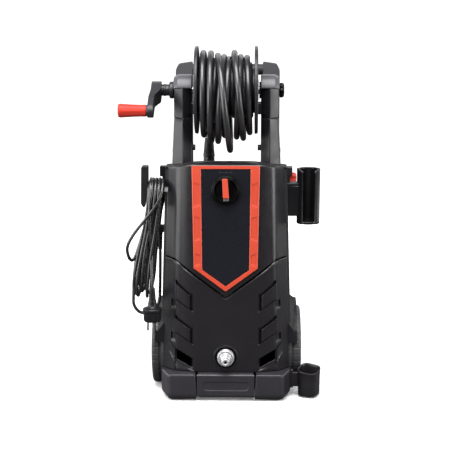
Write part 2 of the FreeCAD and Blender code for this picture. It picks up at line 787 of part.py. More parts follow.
def hose_coil():
    """The wound hose: even turns on the drum, and slack turns that sag below them."""
    y = -value("axle_y")
    z = value("axle_z")
    half = value("reel_half") - 2
    shape = Part.makeCylinder(value("coil_radius"), 2 * half, Vector(-half, y, z), Vector(1, 0, 0))
    sags = ((-54, -31, 79, 17), (-30, -10, 76, 34), (-9, 25, 62, 62.5), (26, 54, 74, 23))
    for start, end, radius, drop in sags:
        turn = Part.makeCylinder(radius, end - start, Vector(start, y, z - drop), Vector(1, 0, 0))
        shape = shape.fuse(turn)
    drum = Part.makeCylinder(value("drum_radius"), 130, Vector(-65, y, z), Vector(1, 0, 0))
    node(drawn("hose_coil", shape.cut(drum).removeSplitter()), "hose_coil")


# ---------------------------------------------------------------- cords

def cord_path(points):
    """Straight runs joined by tangent arcs, as large as the shorter run beside each point allows."""
    edges = []
    radii = []
    start = points[0]
    for before, corner, after in zip(points, points[1:], points[2:]):
        incoming = (corner - before)
        outgoing = (after - corner)
        short = min(incoming.Length, outgoing.Length)
        turn = incoming.getAngle(outgoing)
        back = 0.45 * short
        radii.append(back / math.tan(turn / 2))
        entry = corner - Vector(incoming).normalize() * back
        leave = corner + Vector(outgoing).normalize() * back
        inward = (Vector(outgoing).normalize() - Vector(incoming).normalize()).normalize()
        sagitta = radii[-1] / math.cos(turn / 2) - radii[-1]
        edges.append(Part.LineSegment(start, entry).toShape())
        edges.append(Part.Arc(entry, corner + inward * sagitta, leave).toShape())
        start = leave
    edges.append(Part.LineSegment(start, points[-1]).toShape())
    return Part.Wire(edges), radii


def cord(name, points, radius):
    """A round cord along a route, with its bend radii and its volume reported."""
    path, radii = cord_path([Vector(*point) for point in points])
    direction = Vector(*points[1]) - Vector(*points[0])
    section = Part.Wire([Part.makeCircle(radius, Vector(*points[0]), direction)])
    tube = path.makePipeShell([section], True, True)
    expected = math.pi * radius ** 2 * path.Length
    print(f"{name}: length {path.Length:.1f} mm, radii", [round(item, 1) for item in radii],
          f"volume {tube.Volume:.0f} of {expected:.0f}")
    node(drawn(name, tube), name)


LEAD_LOOP = [
    (-137.3, -40, 300), (-137.3, -40.5, 273), (-137.8, -42, 245), (-138.2, -45, 217),
    (-138.5, -49.3, 190), (-148.6, -57.2, 174), (-164.8, -67, 168), (-181, -74.9, 174),
    (-191, -77.8, 190), (-190.5, -76, 208.4),
]
LEAD_TAIL = [(-150, -94, 305), (-150.2, -99, 284), (-149.6, -105.5, 264), (-149, -109, 246),
             (-149, -109.6, 234)]
HOSE_TAIL = [(-38.5, 42.5, 559), (-38.2, 49.3, 541), (-38.5, 51.1, 521), (-38.7, 50.9, 501),
             (-38.7, 51, 482)]


def cable_hank():
    """The wound power lead: a long flat ring that hangs over the saddle and leans outward."""
    thick = value("hank_thick")
    inner = value("saddle_radius")
    outer = inner + thick
    y = -value("hook_y")
    top = value("hook_z")
    bottom = 243
    ring = None
    for radius in (outer, inner):
        upper = Part.makeCylinder(radius, 90, Vector(-215, y, top), Vector(1, 0, 0))
        lower = Part.makeCylinder(radius, 90, Vector(-215, y, bottom), Vector(1, 0, 0))
        straight = Part.makeBox(90, 2 * radius, top - bottom, Vector(-215, y - radius, bottom))
        solid = upper.fuse([lower, straight]).removeSplitter()
        ring = solid if ring is None else ring.cut(solid)
    front = [(-131, 460), (-157, 460), (-157, 388), (-167, 334), (-178, 300), (-204, 266), (-199, 254),
             (-186, 262), (-195, 216), (-194, 200), (-148, 200), (-145, 222), (-145, 352),
             (-131, 402)]
    spread = prism([Vector(x, -140, up) for x, up in front], Vector(0, 160, 0))
    node(drawn("cable_hank", ring.common(spread).removeSplitter()), "cable_hank")


def plug_body():
    """A round mains plug with its pins down: tapered bend protector, neck, flange and body."""
    corners = [("0", "0"), ("16", "0"), ("18", "3"), ("19", "26"), ("20", "27"), ("20", "31"),
               ("11", "34"), ("9", "38"), ("8.5", "50"), ("6", "54"), ("4.5", "74"), ("0", "74")]
    node(turned("plug_body", corners, "V_Axis"), "plug_body", "mid_x - 149", "mid_y - 109.6", "160")


def plug_pins():
    pins = [rod(f"plug_pin_{index}", 2.4, 19, x, "-109.6", 141) for index, x in
            enumerate(("-158.5", "-139.5"))]
    compound = doc.addObject("Part::Compound", "plug_pins")
    compound.Links = pins
    node(compound, "plug_pins")


def cable_gland():
    """The lead's outlet on the left side, with a bend protector that points down."""
    block = Part.makeBox(22, 16, 15, Vector(-143.5, -48, 336))
    block = block.makeFillet(3, [edge for edge in block.Edges if edge.BoundBox.XLength < 1])
    relief = Part.makeCone(4.6, 5.6, 36, Vector(-137.3, -40, 300))
    shape = block.fuse(relief).cut(rear_block(0))
    node(drawn("cable_gland", shape), "cable_gland")


def hose_end_sleeve():
    x, y = HOSE_END
    cone = taper("sleeve_cone", 11.5, 7.4, 26, 0, 0, 0)
    bore = rod("sleeve_bore", "hose_radius", 30, 0, 0, "-2")
    node(cut("hose_end_sleeve", cone, bore), "hose_end_sleeve", f"mid_x - {-x}", f"mid_y + {y}",
         "482")


def hose_coupling():
    """A threaded coupling that stands in the roof under the hose end."""
    x, y = HOSE_END
    collar = Part.makeCylinder(12.5, 27, Vector(x, y, 455)).cut(rear_block(0))
    stem = Part.makeCylinder(8, 30, Vector(x, y, 450))
    node(drawn("hose_coupling", collar.fuse(stem).removeSplitter()), "hose_coupling")


# ---------------------------------------------------------------- water connections

def outlet_connector():
    """The plug-in outlet: a brass body in the pump's boss and a nipple that points forward."""
    z = "outlet_z"
    body = rod("outlet_body", 11, 53.5, 0, "-108.5", z, ALONG_Y)
    nipple = rod("outlet_nipple", "nipple_radius", 42, 0, "-nipple_front", z, ALONG_Y)
    bead = rod("outlet_bead", "nipple_radius + 1.6", 5, 0, "-133", z, ALONG_Y)
    bore = rod("outlet_bore", 3.2, 60, 0, "-nipple_front - 1", z, ALONG_Y)
    node(cut("outlet_connector", fuse("outlet_solid", body, nipple, bead), bore), "outlet_connector")


def outlet_nut():
    z = "outlet_z"
    nut = rod("nut_ring", 17.6, 13, 0, "-121.5", z, ALONG_Y)
    hole = rod("nut_hole", "nipple_radius", 40, 0, "-130", z, ALONG_Y)
    node(cut("outlet_nut", nut, hole), "outlet_nut")


def inlet_connector():
    z = "outlet_z"
    pipe = rod("inlet_pipe", 11, 45, 0, "85", z, ALONG_Y)
    collar = rod("inlet_collar", 18, 3.8, 0, "case_back + 0.2", z, ALONG_Y)
    thread = rod("inlet_thread", 13.2, 20, 0, "130", z, ALONG_Y)
    bore = rod("inlet_bore", 7, 80, 0, "80", z, ALONG_Y)
    node(cut("inlet_connector", fuse("inlet_solid", pipe, collar, thread), bore), "inlet_connector")


# ---------------------------------------------------------------- accessories

def gun_holder():
    """An open tube with a slot to the front, and the arm that joins it to the casing."""
    x = value("holder_x")
    y = -value("holder_y")
    low = value("holder_low")
    tall = value("holder_high") - low
    radius = value("holder_radius")
    slot = value("holder_slot")
    tube = Part.makeCylinder(radius, tall, Vector(x, y, low))
    arm = Part.makeBox(28, 22, 64, Vector(118, y - 11, 373))
    plate_ = Part.makeBox(30, 30, 6, Vector(118, y - 15, 437))
    ear = Part.makeBox(17, 18, 20, Vector(118, y - 9, 455))
    link = Part.makeBox(12, 14, 20, Vector(118, y - 7, 441))
    shape = tube.fuse([arm, plate_, ear, link]).cut(rear_block(0))
    shape = shape.cut(Part.makeCylinder(radius - value("holder_wall"), tall + 2, Vector(x, y, low - 1)))
    gap = Part.makeBox(slot, radius, tall + 2, Vector(x - slot / 2, y - radius - 2, low - 1))
    node(drawn("gun_holder", shape.cut(gap)), "gun_holder")


def rounded_block(side, radius, low, high):
    half = side / 2
    block = Part.makeBox(side, side, high - low, Vector(-half, -half, low))
    upright = [edge for edge in block.Edges if edge.BoundBox.ZLength > 1 and edge.BoundBox.XLength < 0.1]
    return block.makeFillet(radius, upright)


def lance_cup():
    """A rounded square cup, turned a little, on an arm from the right corner foot."""
    low = value("cup_low")
    high = value("cup_high")
    side = value("cup_side")
    place = Placement(Vector(value("cup_x"), -value("cup_y"), 0), Rotation(Vector(0, 0, 1), -25))
    outside = rounded_block(side, 11, low, high)
    inside = rounded_block(side - 7, 8, low + 4, high + 2)
    outside.Placement = place
    inside.Placement = place
    arm = Part.makeBox(30, 11, 30, Vector(value("foot_outer"), -88, 20))
    ear = Part.makeBox(5, 11, 39, Vector(value("foot_outer"), -88, 17))
    shape = outside.fuse([arm, ear]).cut(inside)
    node(drawn("lance_cup", shape.removeSplitter()), "lance_cup")


def hook_bracket():
    """The cable hook's fixed saddle, and its ear on the casing."""
    y = -value("hook_y")
    z = value("hook_z")
    saddle = Part.makeCylinder(value("saddle_radius"), 42, Vector(-159, y, z), Vector(1, 0, 0))
    saddle = saddle.common(Part.makeBox(60, 60, 20, Vector(-170, y - 30, z + 10)))
    hub = Part.makeCylinder(4, 44, Vector(-167, y, z + 17), Vector(1, 0, 0))
    ear = Part.makeBox(17, 22, 20, Vector(-134.5, y - 4, 455))
    spine = Part.makeBox(12, 22, 50, Vector(-129.5, y - 4, 415))
    shape = saddle.fuse([hub, ear, spine]).cut(rear_block(0)).cut(upper_block(0))
    node(drawn("hook_bracket", shape.removeSplitter()), "hook_bracket")


def cable_hook():
    """The end plate that turns to let the hank slip off the saddle."""
    y = -value("hook_y")
    z = value("hook_z") + 17
    outline = [(-160, 476), (-171.5, 476), (-173, 399), (-166, 391), (-160, 412)]
    slab = prism([Vector(x, y - 15, up) for x, up in outline], Vector(0, 30, 0))
    bore = Part.makeCylinder(4 + value("running_gap"), 8.5, Vector(-168, y, z), Vector(1, 0, 0))
    node(drawn("cable_hook", slab.cut(bore)), "cable_hook")


# ---------------------------------------------------------------- wheels

def wheel_hub(side_name):
    """Rim, web and boss in one turned moulding, closed by a cap on its outer face."""
    flip = "" if side_name == "right" else "-"
    more = " + " if side_name == "right" else " - "
    less = " - " if side_name == "right" else " + "
    inner = f"{flip}wheel_inner{more}1"
    outer = f"{flip}wheel_outer{less}3"
    bore = "stub_radius + running_gap"
    corners = [(inner, bore), (inner, "15"), (f"{inner}{more}12", "16"), (f"{inner}{more}12", "58"),
               (inner, "60"), (inner, "rim_radius"), (outer, "rim_radius"), (outer, "60"),
               (f"{inner}{more}20", "56"), (f"{inner}{more}20", "22"), (outer, "19"),
               (f"{outer}{more}4", "14"), (f"{outer}{more}4", "0"), (f"{outer}{more}0.5", "0"),
               (f"{outer}{more}0.5", bore)]
    node(turned(f"wheel_hub_{side_name}", corners), f"wheel_hub_{side_name}",
         y="mid_y + wheel_y", z="wheel_radius")


def wheel_tyre(side_name):
    flip = "" if side_name == "right" else "-"
    more = " + " if side_name == "right" else " - "
    less = " - " if side_name == "right" else " + "
    inner = f"{flip}wheel_inner"
    outer = f"{flip}wheel_outer"
    corners = [(f"{inner}{more}1", "rim_radius"), (inner, "rim_radius + 2"),
               (inner, "wheel_radius - 5"), (f"{inner}{more}5", "wheel_radius"),
               (f"{outer}{less}5", "wheel_radius"), (outer, "wheel_radius - 5"),
               (outer, "rim_radius + 2"), (f"{outer}{less}3", "rim_radius")]
    node(turned(f"wheel_tyre_{side_name}", corners), f"wheel_tyre_{side_name}",
         y="mid_y + wheel_y", z="wheel_radius")


def wheel_stubs():
    stubs = []
    for side_name in ("left", "right"):
        start = "86" if side_name == "right" else "-wheel_outer + 3"
        head = "83" if side_name == "right" else "-92"
        stub = rod(f"stub_{side_name}", "stub_radius", "wheel_outer - 89", start, "wheel_y",
                   "wheel_radius", ALONG_X)
        nut = rod(f"stub_nut_{side_name}", 10, 9, head, "wheel_y", "wheel_radius", ALONG_X)
        stubs.append(fuse(f"stub_with_nut_{side_name}", stub, nut))
    compound = doc.addObject("Part::Compound", "wheel_stubs")
    compound.Links = stubs
    node(compound, "wheel_stubs")


# ---------------------------------------------------------------- motor and pump

def motor_body():
    """A closed can with a bearing hole at each end."""
    corners = [("shaft_radius + running_gap", "motor_low"), ("motor_radius", "motor_low"),
               ("motor_radius", "motor_high"), ("shaft_radius + running_gap", "motor_high"),
               ("shaft_radius + running_gap", "motor_high - 6"), ("54", "motor_high - 6"),
               ("54", "motor_low + 6"), ("shaft_radius + running_gap", "motor_low + 6")]
    node(turned("motor_body", corners, "V_Axis"), "motor_body", y="mid_y + motor_y")


def motor_rotor():
    corners = [("0", "168"), ("shaft_radius", "168"), ("shaft_radius", "212"), ("46", "212"),
               ("46", "345"), ("shaft_radius", "345"), ("shaft_radius", "398"), ("0", "398")]
    node(turned("motor_rotor", corners, "V_Axis"), "motor_rotor", y="mid_y + motor_y")


def cooling_fan():
    """Nine blades on a hub pressed on the shaft, inside the motor can."""
    hub = Part.makeCylinder(16, 12, Vector(0, 0, 352))
    shape = hub
    for index in range(9):
        blade = Part.makeBox(34, 2, 12, Vector(14, -1, 352))
        blade.rotate(Vector(0, 0, 0), Vector(0, 0, 1), index * 40)
        shape = shape.fuse(blade)
    shaft = Part.makeCylinder(value("shaft_radius"), 60, Vector(0, 0, 340))
    node(drawn("cooling_fan", shape.cut(shaft)), "cooling_fan", y="mid_y + motor_y")


def wobble_plate():
    """A slanted disc on the end of the shaft, which drives the pistons."""
    disc = Part.makeCylinder(30, 60, Vector(0, 0, 130))
    slab = Part.makeBox(80, 80, 9, Vector(-40, -40, -4.5))
    slab.rotate(Vector(0, 0, 0), Vector(0, 1, 0), 8)
    slab.translate(Vector(0, 0, 158))
    hub = Part.makeCylinder(13, 9, Vector(0, 0, 159))
    node(drawn("wobble_plate", disc.common(slab).fuse(hub)), "wobble_plate", y="mid_y + motor_y")


def pump_block():
    """The pump: a round block with a chamber for the wobble plate and three cylinders."""
    low = value("pump_low")
    high = value("motor_low")
    shape = Part.makeCylinder(value("pump_radius"), high - low)
    shape.translate(Vector(0, 0, low))
    front = Part.makeBox(32, 50, 32, Vector(-16, -70, value("outlet_z") - 16))
    back = Part.makeBox(32, 50, 32, Vector(-16, 20, value("outlet_z") - 16))
    shape = shape.fuse([front, back])
    shape = shape.cut(Part.makeCylinder(36, 44, Vector(0, 0, 140)))
    shape = shape.cut(Part.makeCylinder(9.5, 60, Vector(0, 0, 160)))
    for index in range(3):
        turn = math.radians(90 + 120 * index)
        place = Vector(22 * math.cos(turn), 22 * math.sin(turn), 112)
        shape = shape.cut(Part.makeCylinder(6, 40, place))
    node(drawn("pump_block", shape.removeSplitter()), "pump_block", y="mid_y + motor_y")


def pump_pistons():
    pistons = []
    for index in range(3):
        turn = math.radians(90 + 120 * index)
        place = Vector(22 * math.cos(turn), 22 * math.sin(turn), 114)
        pistons.append(Part.makeCylinder(6, 28, place))
    node(drawn("pump_pistons", Part.makeCompound(pistons)), "pump_pistons", y="mid_y + motor_y")


def capacitor():
    """The motor's capacitor on a small shelf bracket."""
    can = rod("capacitor_can", 19, 80, 0, "-73", 250)
    clip = box("capacitor_clip", 20, 16, 40, "-10", "-60", 270)
    barrel = rod("capacitor_clearance", "motor_radius", 120, 0, "motor_y", 230)
    node(cut("capacitor", fuse("capacitor_solid", can, clip), barrel), "capacitor")


def cover_screws():
    screws = []
    for side_name in ("left", "right"):
        x = "70" if side_name == "right" else "-70"
        for height in (110, 215, 420):
            head = rod(f"screw_{side_name}_{height}", 4.5, 2, x, "case_back", height, ALONG_Y)
            screws.append(head)
    compound = doc.addObject("Part::Compound", "cover_screws")
    compound.Links = screws
    node(compound, "cover_screws")


def build():
    fill_sheet()
    for make in (base_tray, rubber_feet, lower_front_cover, upper_front_cover, rear_cover,
                 control_panel, trim_frame, switch_knob, knob_pointer, switch_box, column_bolts,
                 axle_bushes, handle_bar, handle_lock_knob, reel_axle, reel_drum, axle_knob,
                 crank_arm, crank_pin, crank_grip, hose_coil, cable_hank, plug_body, plug_pins,
                 cable_gland, hose_end_sleeve, hose_coupling, outlet_connector, outlet_nut,
                 inlet_connector, gun_holder, lance_cup, hook_bracket, cable_hook, wheel_stubs,
                 motor_body, motor_rotor, cooling_fan, wobble_plate, pump_block, pump_pistons,
                 capacitor, cover_screws):
        make()
    for side_name in ("left", "right"):
        for make in (front_foot, column, reel_bracket, handle_post, reel_flange, wheel_hub,
                     wheel_tyre):
            make(side_name)
    cord("lead_loop", LEAD_LOOP, value("lead_radius"))
    cord("lead_tail", LEAD_TAIL, value("lead_radius"))
    cord("hose_tail", HOSE_TAIL, value("hose_radius"))
    doc.recompute()


def check_and_export():
    faults = [obj.Label for obj in doc.Objects if "Invalid" in obj.State or "Error" in obj.State]
    for obj in nodes:
        if obj.Shape.isNull() or not obj.Shape.isValid() or not obj.Shape.Solids:
            faults.append(obj.Label)
    if faults:
        raise RuntimeError("faulty pieces: " + ", ".join(faults))
    os.makedirs("parts", exist_ok=True)
    for obj in nodes:
        obj.Shape.exportStep(f"parts/{obj.Label}.step")
    whole = Part.makeCompound([obj.Shape for obj in nodes]).BoundBox
    print(len(nodes), "pieces, box", whole)


build()
check_and_export()
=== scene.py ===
import json
import math

import bmesh
import bpy
import numpy as np
from mathutils import Matrix, Vector


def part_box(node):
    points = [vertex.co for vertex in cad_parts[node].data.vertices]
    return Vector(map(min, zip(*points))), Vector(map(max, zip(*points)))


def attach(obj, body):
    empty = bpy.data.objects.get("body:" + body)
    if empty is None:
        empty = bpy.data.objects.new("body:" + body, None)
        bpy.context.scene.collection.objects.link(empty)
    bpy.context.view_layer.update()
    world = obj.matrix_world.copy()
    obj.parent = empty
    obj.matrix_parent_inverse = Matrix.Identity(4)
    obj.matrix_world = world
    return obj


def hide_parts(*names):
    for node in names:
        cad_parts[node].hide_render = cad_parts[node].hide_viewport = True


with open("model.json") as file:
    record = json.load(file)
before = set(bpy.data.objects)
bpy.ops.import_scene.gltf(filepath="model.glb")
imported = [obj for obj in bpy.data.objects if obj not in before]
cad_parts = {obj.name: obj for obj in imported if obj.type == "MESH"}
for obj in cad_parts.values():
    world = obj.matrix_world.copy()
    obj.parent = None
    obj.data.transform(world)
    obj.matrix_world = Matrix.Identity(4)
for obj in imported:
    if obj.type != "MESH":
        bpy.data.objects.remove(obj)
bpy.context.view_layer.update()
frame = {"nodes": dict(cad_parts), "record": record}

# An upright pressure washer with a hose reel. Pieces are drawn in millimetres about the machine's
# own mid-plane, X to the right, Y to the back, Z up, and every mesh is then put into the frame.

MM = 0.001


def low_high(node):
    """The corners of a CAD node, in millimetres about the mid-plane."""
    low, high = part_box(node)
    return (low - ORIGIN) / MM, (high - ORIGIN) / MM


def centre_of(node):
    """The middle of a CAD node, in the same millimetres."""
    low, high = low_high(node)
    return (low + high) / 2


CASING_LOW, CASING_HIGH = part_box("rear_cover")
ORIGIN = Vector(((CASING_LOW.x + CASING_HIGH.x) / 2, 0, 0))


def place(point):
    """A point in millimetres about the mid-plane, in the frame's metres."""
    return ORIGIN + Vector(point) * MM


AXLE = centre_of("reel_axle")
OUTLET = centre_of("outlet_nut")


# ---------------------------------------------------------------- materials

def node_of(tree, kind, **sockets):
    node = tree.nodes.new(kind)
    for name, value in sockets.items():
        node.inputs[name.replace("_", " ")].default_value = value
    return node


def ranged(tree, source, low, high, start=0.0, end=1.0):
    """source, mapped from start..end to low..high."""
    node = node_of(tree, "ShaderNodeMapRange", From_Min=start, From_Max=end, To_Min=low, To_Max=high)
    tree.links.new(source, node.inputs["Value"])
    return node.outputs["Result"]


def noise(tree, coordinates, scale, detail=3.0, roughness=0.5):
    node = node_of(tree, "ShaderNodeTexNoise", Scale=scale, Detail=detail, Roughness=roughness)
    tree.links.new(coordinates, node.inputs["Vector"])
    return node.outputs["Fac"]


def mixed(tree, share, first, second):
    """A colour between two others; each is a socket or four numbers."""
    node = tree.nodes.new("ShaderNodeMix")
    node.data_type = "RGBA"
    tree.links.new(share, node.inputs[0])
    for index, colour in ((6, first), (7, second)):
        if isinstance(colour, bpy.types.NodeSocket):
            tree.links.new(colour, node.inputs[index])
        else:
            node.inputs[index].default_value = (*colour, 1)
    return node.outputs[2]


FINISH_FOR = {}


def surface(name, slot, colour, rough, spread=0.08, mottle=0.25, grain=0.12, grain_scale=900, wear=0.5,
            metallic=0.0, coat=0.0, stretch=(1, 1, 1), sheen=0.0, specular=0.5):
    """A moulded or machined surface: mottled colour, uneven gloss, fine grain and worn edges.

    slot is the record's material slot; the first surface of a slot is the usual one for it."""
    material = bpy.data.materials.new(name)
    material.use_nodes = True
    tree = material.node_tree
    shader = tree.nodes["Principled BSDF"]
    shader.inputs["Metallic"].default_value = metallic
    shader.inputs["Coat Weight"].default_value = coat
    shader.inputs["Specular IOR Level"].default_value = specular
    shader.inputs["Coat Roughness"].default_value = 0.12
    shader.inputs["Sheen Weight"].default_value = sheen
    where = tree.nodes.new("ShaderNodeTexCoord").outputs["Object"]
    mapping = tree.nodes.new("ShaderNodeMapping")
    mapping.inputs["Scale"].default_value = stretch
    tree.links.new(where, mapping.inputs["Vector"])
    where = mapping.outputs["Vector"]
    dark = tuple(part * (1 - mottle) for part in colour)
    light = tuple(min(1.0, part * (1 + mottle)) for part in colour)
    tint = mixed(tree, noise(tree, where, 22, 5, 0.6), dark, light)
    pointed = tree.nodes.new("ShaderNodeNewGeometry").outputs["Pointiness"]
    worn = tuple(min(1.0, part * 1.4 + 0.015 * wear) for part in colour)
    edge = ranged(tree, pointed, 0.0, 0.75 * wear, 0.53, 0.62)
    tree.links.new(mixed(tree, edge, tint, worn), shader.inputs["Base Color"])
    gloss = ranged(tree, noise(tree, where, 60, 4, 0.65), rough - spread, rough + spread, 0.3, 0.7)
    tree.links.new(gloss, shader.inputs["Roughness"])
    bump = node_of(tree, "ShaderNodeBump", Strength=grain, Distance=0.0006)
    tree.links.new(noise(tree, where, grain_scale, 2, 0.6), bump.inputs["Height"])
    tree.links.new(bump.outputs["Normal"], shader.inputs["Normal"])
    FINISH_FOR.setdefault(slot, material)
    return material


BLACK = (0.0092, 0.0078, 0.0098)
CASING = surface("casing_plastic", "casing", BLACK, 0.33, 0.05, grain=0.08, wear=0.35, specular=0.56)
REAR_CASING = surface("textured_plastic", "casing", BLACK, 0.52, 0.05, grain=0.30, grain_scale=1500,
                      wear=0.35, specular=0.30)
CASING_SATIN = surface("column_plastic", "casing", (0.0125, 0.011, 0.0135), 0.33, 0.05, grain=0.08,
                       wear=0.35)
FOOT_PLASTIC = surface("foot_plastic", "casing", (0.025, 0.023, 0.0275), 0.40, 0.06, grain=0.18,
                       wear=0.3)
PANEL = surface("panel_gloss", "panel", (0.0075, 0.0078, 0.0118), 0.27, 0.02, 0.06, grain=0.0, wear=0.1)
ORANGE = surface("orange_plastic", "orange", (0.56, 0.062, 0.030), 0.36, 0.05, 0.05, grain=0.04,
                 wear=0.1)
RED_ORANGE = surface("grip_plastic", "orange", (0.50, 0.034, 0.020), 0.42, 0.05, 0.06, grain=0.03,
                     wear=0.1, specular=0.25)
KNOB_BLACK = surface("knob_plastic", "casing", (0.0012, 0.0012, 0.0014), 0.30, 0.04, 0.2, grain=0.02,
                     wear=0.0, specular=0.16)
HOLDER_BLACK = surface("holder_plastic", "casing", (0.006, 0.0055, 0.0065), 0.22, 0.05, 0.2,
                       grain=0.05, wear=0.3)
REEL_PLASTIC = surface("reel_plastic", "reel_plastic", (0.017, 0.016, 0.020), 0.40, 0.06, grain=0.12,
                       wear=0.45)
RUBBER = surface("rubber", "rubber", (0.010, 0.010, 0.010), 0.58, grain=0.3, grain_scale=500, wear=0.3)
TYRE = surface("tyre_rubber", "tyre", (0.046, 0.044, 0.047), 0.44, 0.07, 0.25, grain=0.12,
               grain_scale=420, wear=0.6)
WHEEL_PLASTIC = surface("wheel_plastic", "wheel_plastic", (0.017, 0.016, 0.018), 0.38, grain=0.12,
                        wear=0.45)
HOSE = surface("hose_rubber", "hose", (0.015, 0.0145, 0.0172), 0.33, 0.04, 0.25, grain=0.10,
               grain_scale=1300, wear=0.2, specular=0.95)
CABLE = surface("cable_pvc", "cable", (0.012, 0.012, 0.0128), 0.27, 0.05, 0.2, grain=0.06, wear=0.2,
                specular=0.9)
HANDLE_PLASTIC = surface("handle_plastic", "handle_metal", (0.060, 0.058, 0.063), 0.46, 0.06,
                         grain=0.12, wear=0.4)
# The bracket caps are the casing's black plastic made many times lighter: a painted highlight for the
# top softbox's reflection on their rounded tops.
CAP_PAINTED_HIGHLIGHT = surface("cap_painted_highlight", "casing", (0.075, 0.074, 0.082), 0.36, 0.05, grain=0.06, wear=0.3)
PLUG_PLASTIC = surface("plug_pvc", "cable", (0.007, 0.0068, 0.008), 0.36, 0.05, 0.25, grain=0.10,
                       wear=0.3, specular=0.32)
CHROME = surface("chrome", "chrome", (0.62, 0.62, 0.63), 0.32, 0.03, 0.05, grain=0.0, wear=0.0,
                 metallic=0.6)
BRASS = surface("brass", "brass", (0.62, 0.44, 0.19), 0.28, 0.08, 0.15, grain=0.06, wear=0.2,
                metallic=1.0)
STEEL = surface("steel", "steel", (0.48, 0.48, 0.49), 0.30, 0.08, 0.15, grain=0.10, wear=0.2,
                metallic=1.0, stretch=(1, 1, 6))
surface("motor_casting", "motor_casting", (0.33, 0.34, 0.35), 0.46, 0.1, 0.2, grain=0.5,
        grain_scale=300, wear=0.5, metallic=1.0)
surface("bush_plastic", "bush_plastic", (0.55, 0.53, 0.47), 0.45, grain=0.10, wear=0.2)
MARKING = surface("dial_marks", "panel", (0.055, 0.055, 0.06), 0.5, 0.05, 0.1, grain=0.05, wear=0.0)
DARK_NUT = surface("coupling_plastic", "brass", (0.008, 0.008, 0.009), 0.3, 0.05, 0.2, grain=0.08,
                   wear=0.4)

# ---------------------------------------------------------------- building meshes

def finish_piece(name, mesh, body, material, hides=(), angle=32):
    """Put a mesh drawn about the mid-plane into the frame, and hand it to its body."""
    mesh.transform(Matrix.Translation(ORIGIN) @ Matrix.Scale(MM, 4))
    mesh.update()
    piece = bpy.data.objects.new(name, mesh)
    bpy.context.scene.collection.objects.link(piece)
    mesh.materials.append(material)
    mesh.polygons.foreach_set("use_smooth", [True] * len(mesh.polygons))
    mesh.set_sharp_from_angle(angle=math.radians(angle))
    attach(piece, body)
    if hides:
        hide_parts(*hides)
    return piece


def mesh_from(name, points, faces):
    mesh = bpy.data.meshes.new(name)
    mesh.from_pydata([tuple(point) for point in points], [], faces)
    work = bmesh.new()
    work.from_mesh(mesh)
    bmesh.ops.remove_doubles(work, verts=work.verts, dist=0.0005)
    bmesh.ops.recalc_face_normals(work, faces=work.faces)
    work.to_mesh(mesh)
    work.free()
    return mesh


def grid_faces(rows, columns, closed=False, keep=None):
    """Four-sided faces of a grid of points, row by row."""
    faces = []
    for row in range(rows - 1):
        for column in range(columns if closed else columns - 1):
            after = (column + 1) % columns
            if keep is None or keep(row, column):
                faces.append((row * columns + column, row * columns + after,
                              (row + 1) * columns + after, (row + 1) * columns + column))
    return faces


def row_mesh(name, rows, extra):
    """A mesh through rows of points, each row as long as the next, with extra faces by index."""
    points = [point for row in rows for point in row]
    return mesh_from(name, points, grid_faces(len(rows), len(rows[0])) + extra)


def bevelled(piece, width, segments=3, angle=35):
    bevel = piece.modifiers.new("bevel", "BEVEL")
    bevel.width = width * MM
    bevel.segments = segments
    bevel.limit_method = "ANGLE"
    bevel.angle_limit = math.radians(angle)
    bevel.harden_normals = False
    weighted = piece.modifiers.new("weighted", "WEIGHTED_NORMAL")
    weighted.keep_sharp = False
    return piece


def walled(piece, thickness):
    """Give an open sheet its wall, on the inner side."""
    wall = piece.modifiers.new("wall", "SOLIDIFY")
    wall.thickness = thickness * MM
    wall.offset = -1


def corner_curve(before, corner, after, cut, most, steps):
    """A curve that rounds a corner, from up to cut, or a share of the side, away from it."""
    back_in = before - corner
    back_out = after - corner
    back = min(cut, most * back_in.length, most * back_out.length)
    if back < 0.05:
        return [corner]
    start = corner + back_in.normalized() * back
    end = corner + back_out.normalized() * back
    shares = [step / steps for step in range(steps + 1)]
    return [start * (1 - share) ** 2 + corner * 2 * share * (1 - share) + end * share ** 2
            for share in shares]


def rounded(corners, cut, steps=5):
    """A closed outline with its corners rounded; cut is one distance or one for each corner."""
    corners = [Vector(corner) for corner in corners]
    cuts = cut if isinstance(cut, (list, tuple)) else [cut] * len(corners)
    points = []
    for index, corner in enumerate(corners):
        after = corners[(index + 1) % len(corners)]
        points += corner_curve(corners[index - 1], corner, after, cuts[index], 0.49, steps)
    return points


def lofted(name, rings, body, material, hides=(), caps=True, angle=32):
    """A closed form through rings of points, each ring as long as the next."""
    count = len(rings[0])
    points = [point for ring in rings for point in ring]
    faces = grid_faces(len(rings), count, closed=True)
    if caps:
        faces.append(tuple(reversed(range(count))))
        faces.append(tuple(range((len(rings) - 1) * count, len(rings) * count)))
    return finish_piece(name, mesh_from(name, points, faces), body, material, hides, angle)


def slab(name, outline, depth, body, material, hides=(), edge=1.0, segments=3):
    """An outline of 3-D points pushed along depth, with its edges softened."""
    depth = Vector(depth)
    rings = [outline, [Vector(point) + depth for point in outline]]
    piece = lofted(name, rings, body, material, hides)
    return bevelled(piece, edge, segments, 30)


def side_plate(name, x, depth, across, up, material, cut, edge):
    """A plate with rounded corners on the casing's side: it starts at x and is depth deep."""
    corners = [(x, across[0], up[0]), (x, across[1], up[0]), (x, across[1], up[1]),
               (x, across[0], up[1])]
    return slab(name, rounded(corners, cut), (depth, 0, 0), "washer", material, edge=edge)


SIDES = ((-1, "left"), (1, "right"))
AXES = {
    "X": (Vector((1, 0, 0)), Vector((0, 1, 0)), Vector((0, 0, 1))),
    "Y": (Vector((0, 1, 0)), Vector((1, 0, 0)), Vector((0, 0, 1))),
    "Z": (Vector((0, 0, 1)), Vector((1, 0, 0)), Vector((0, 1, 0))),
}


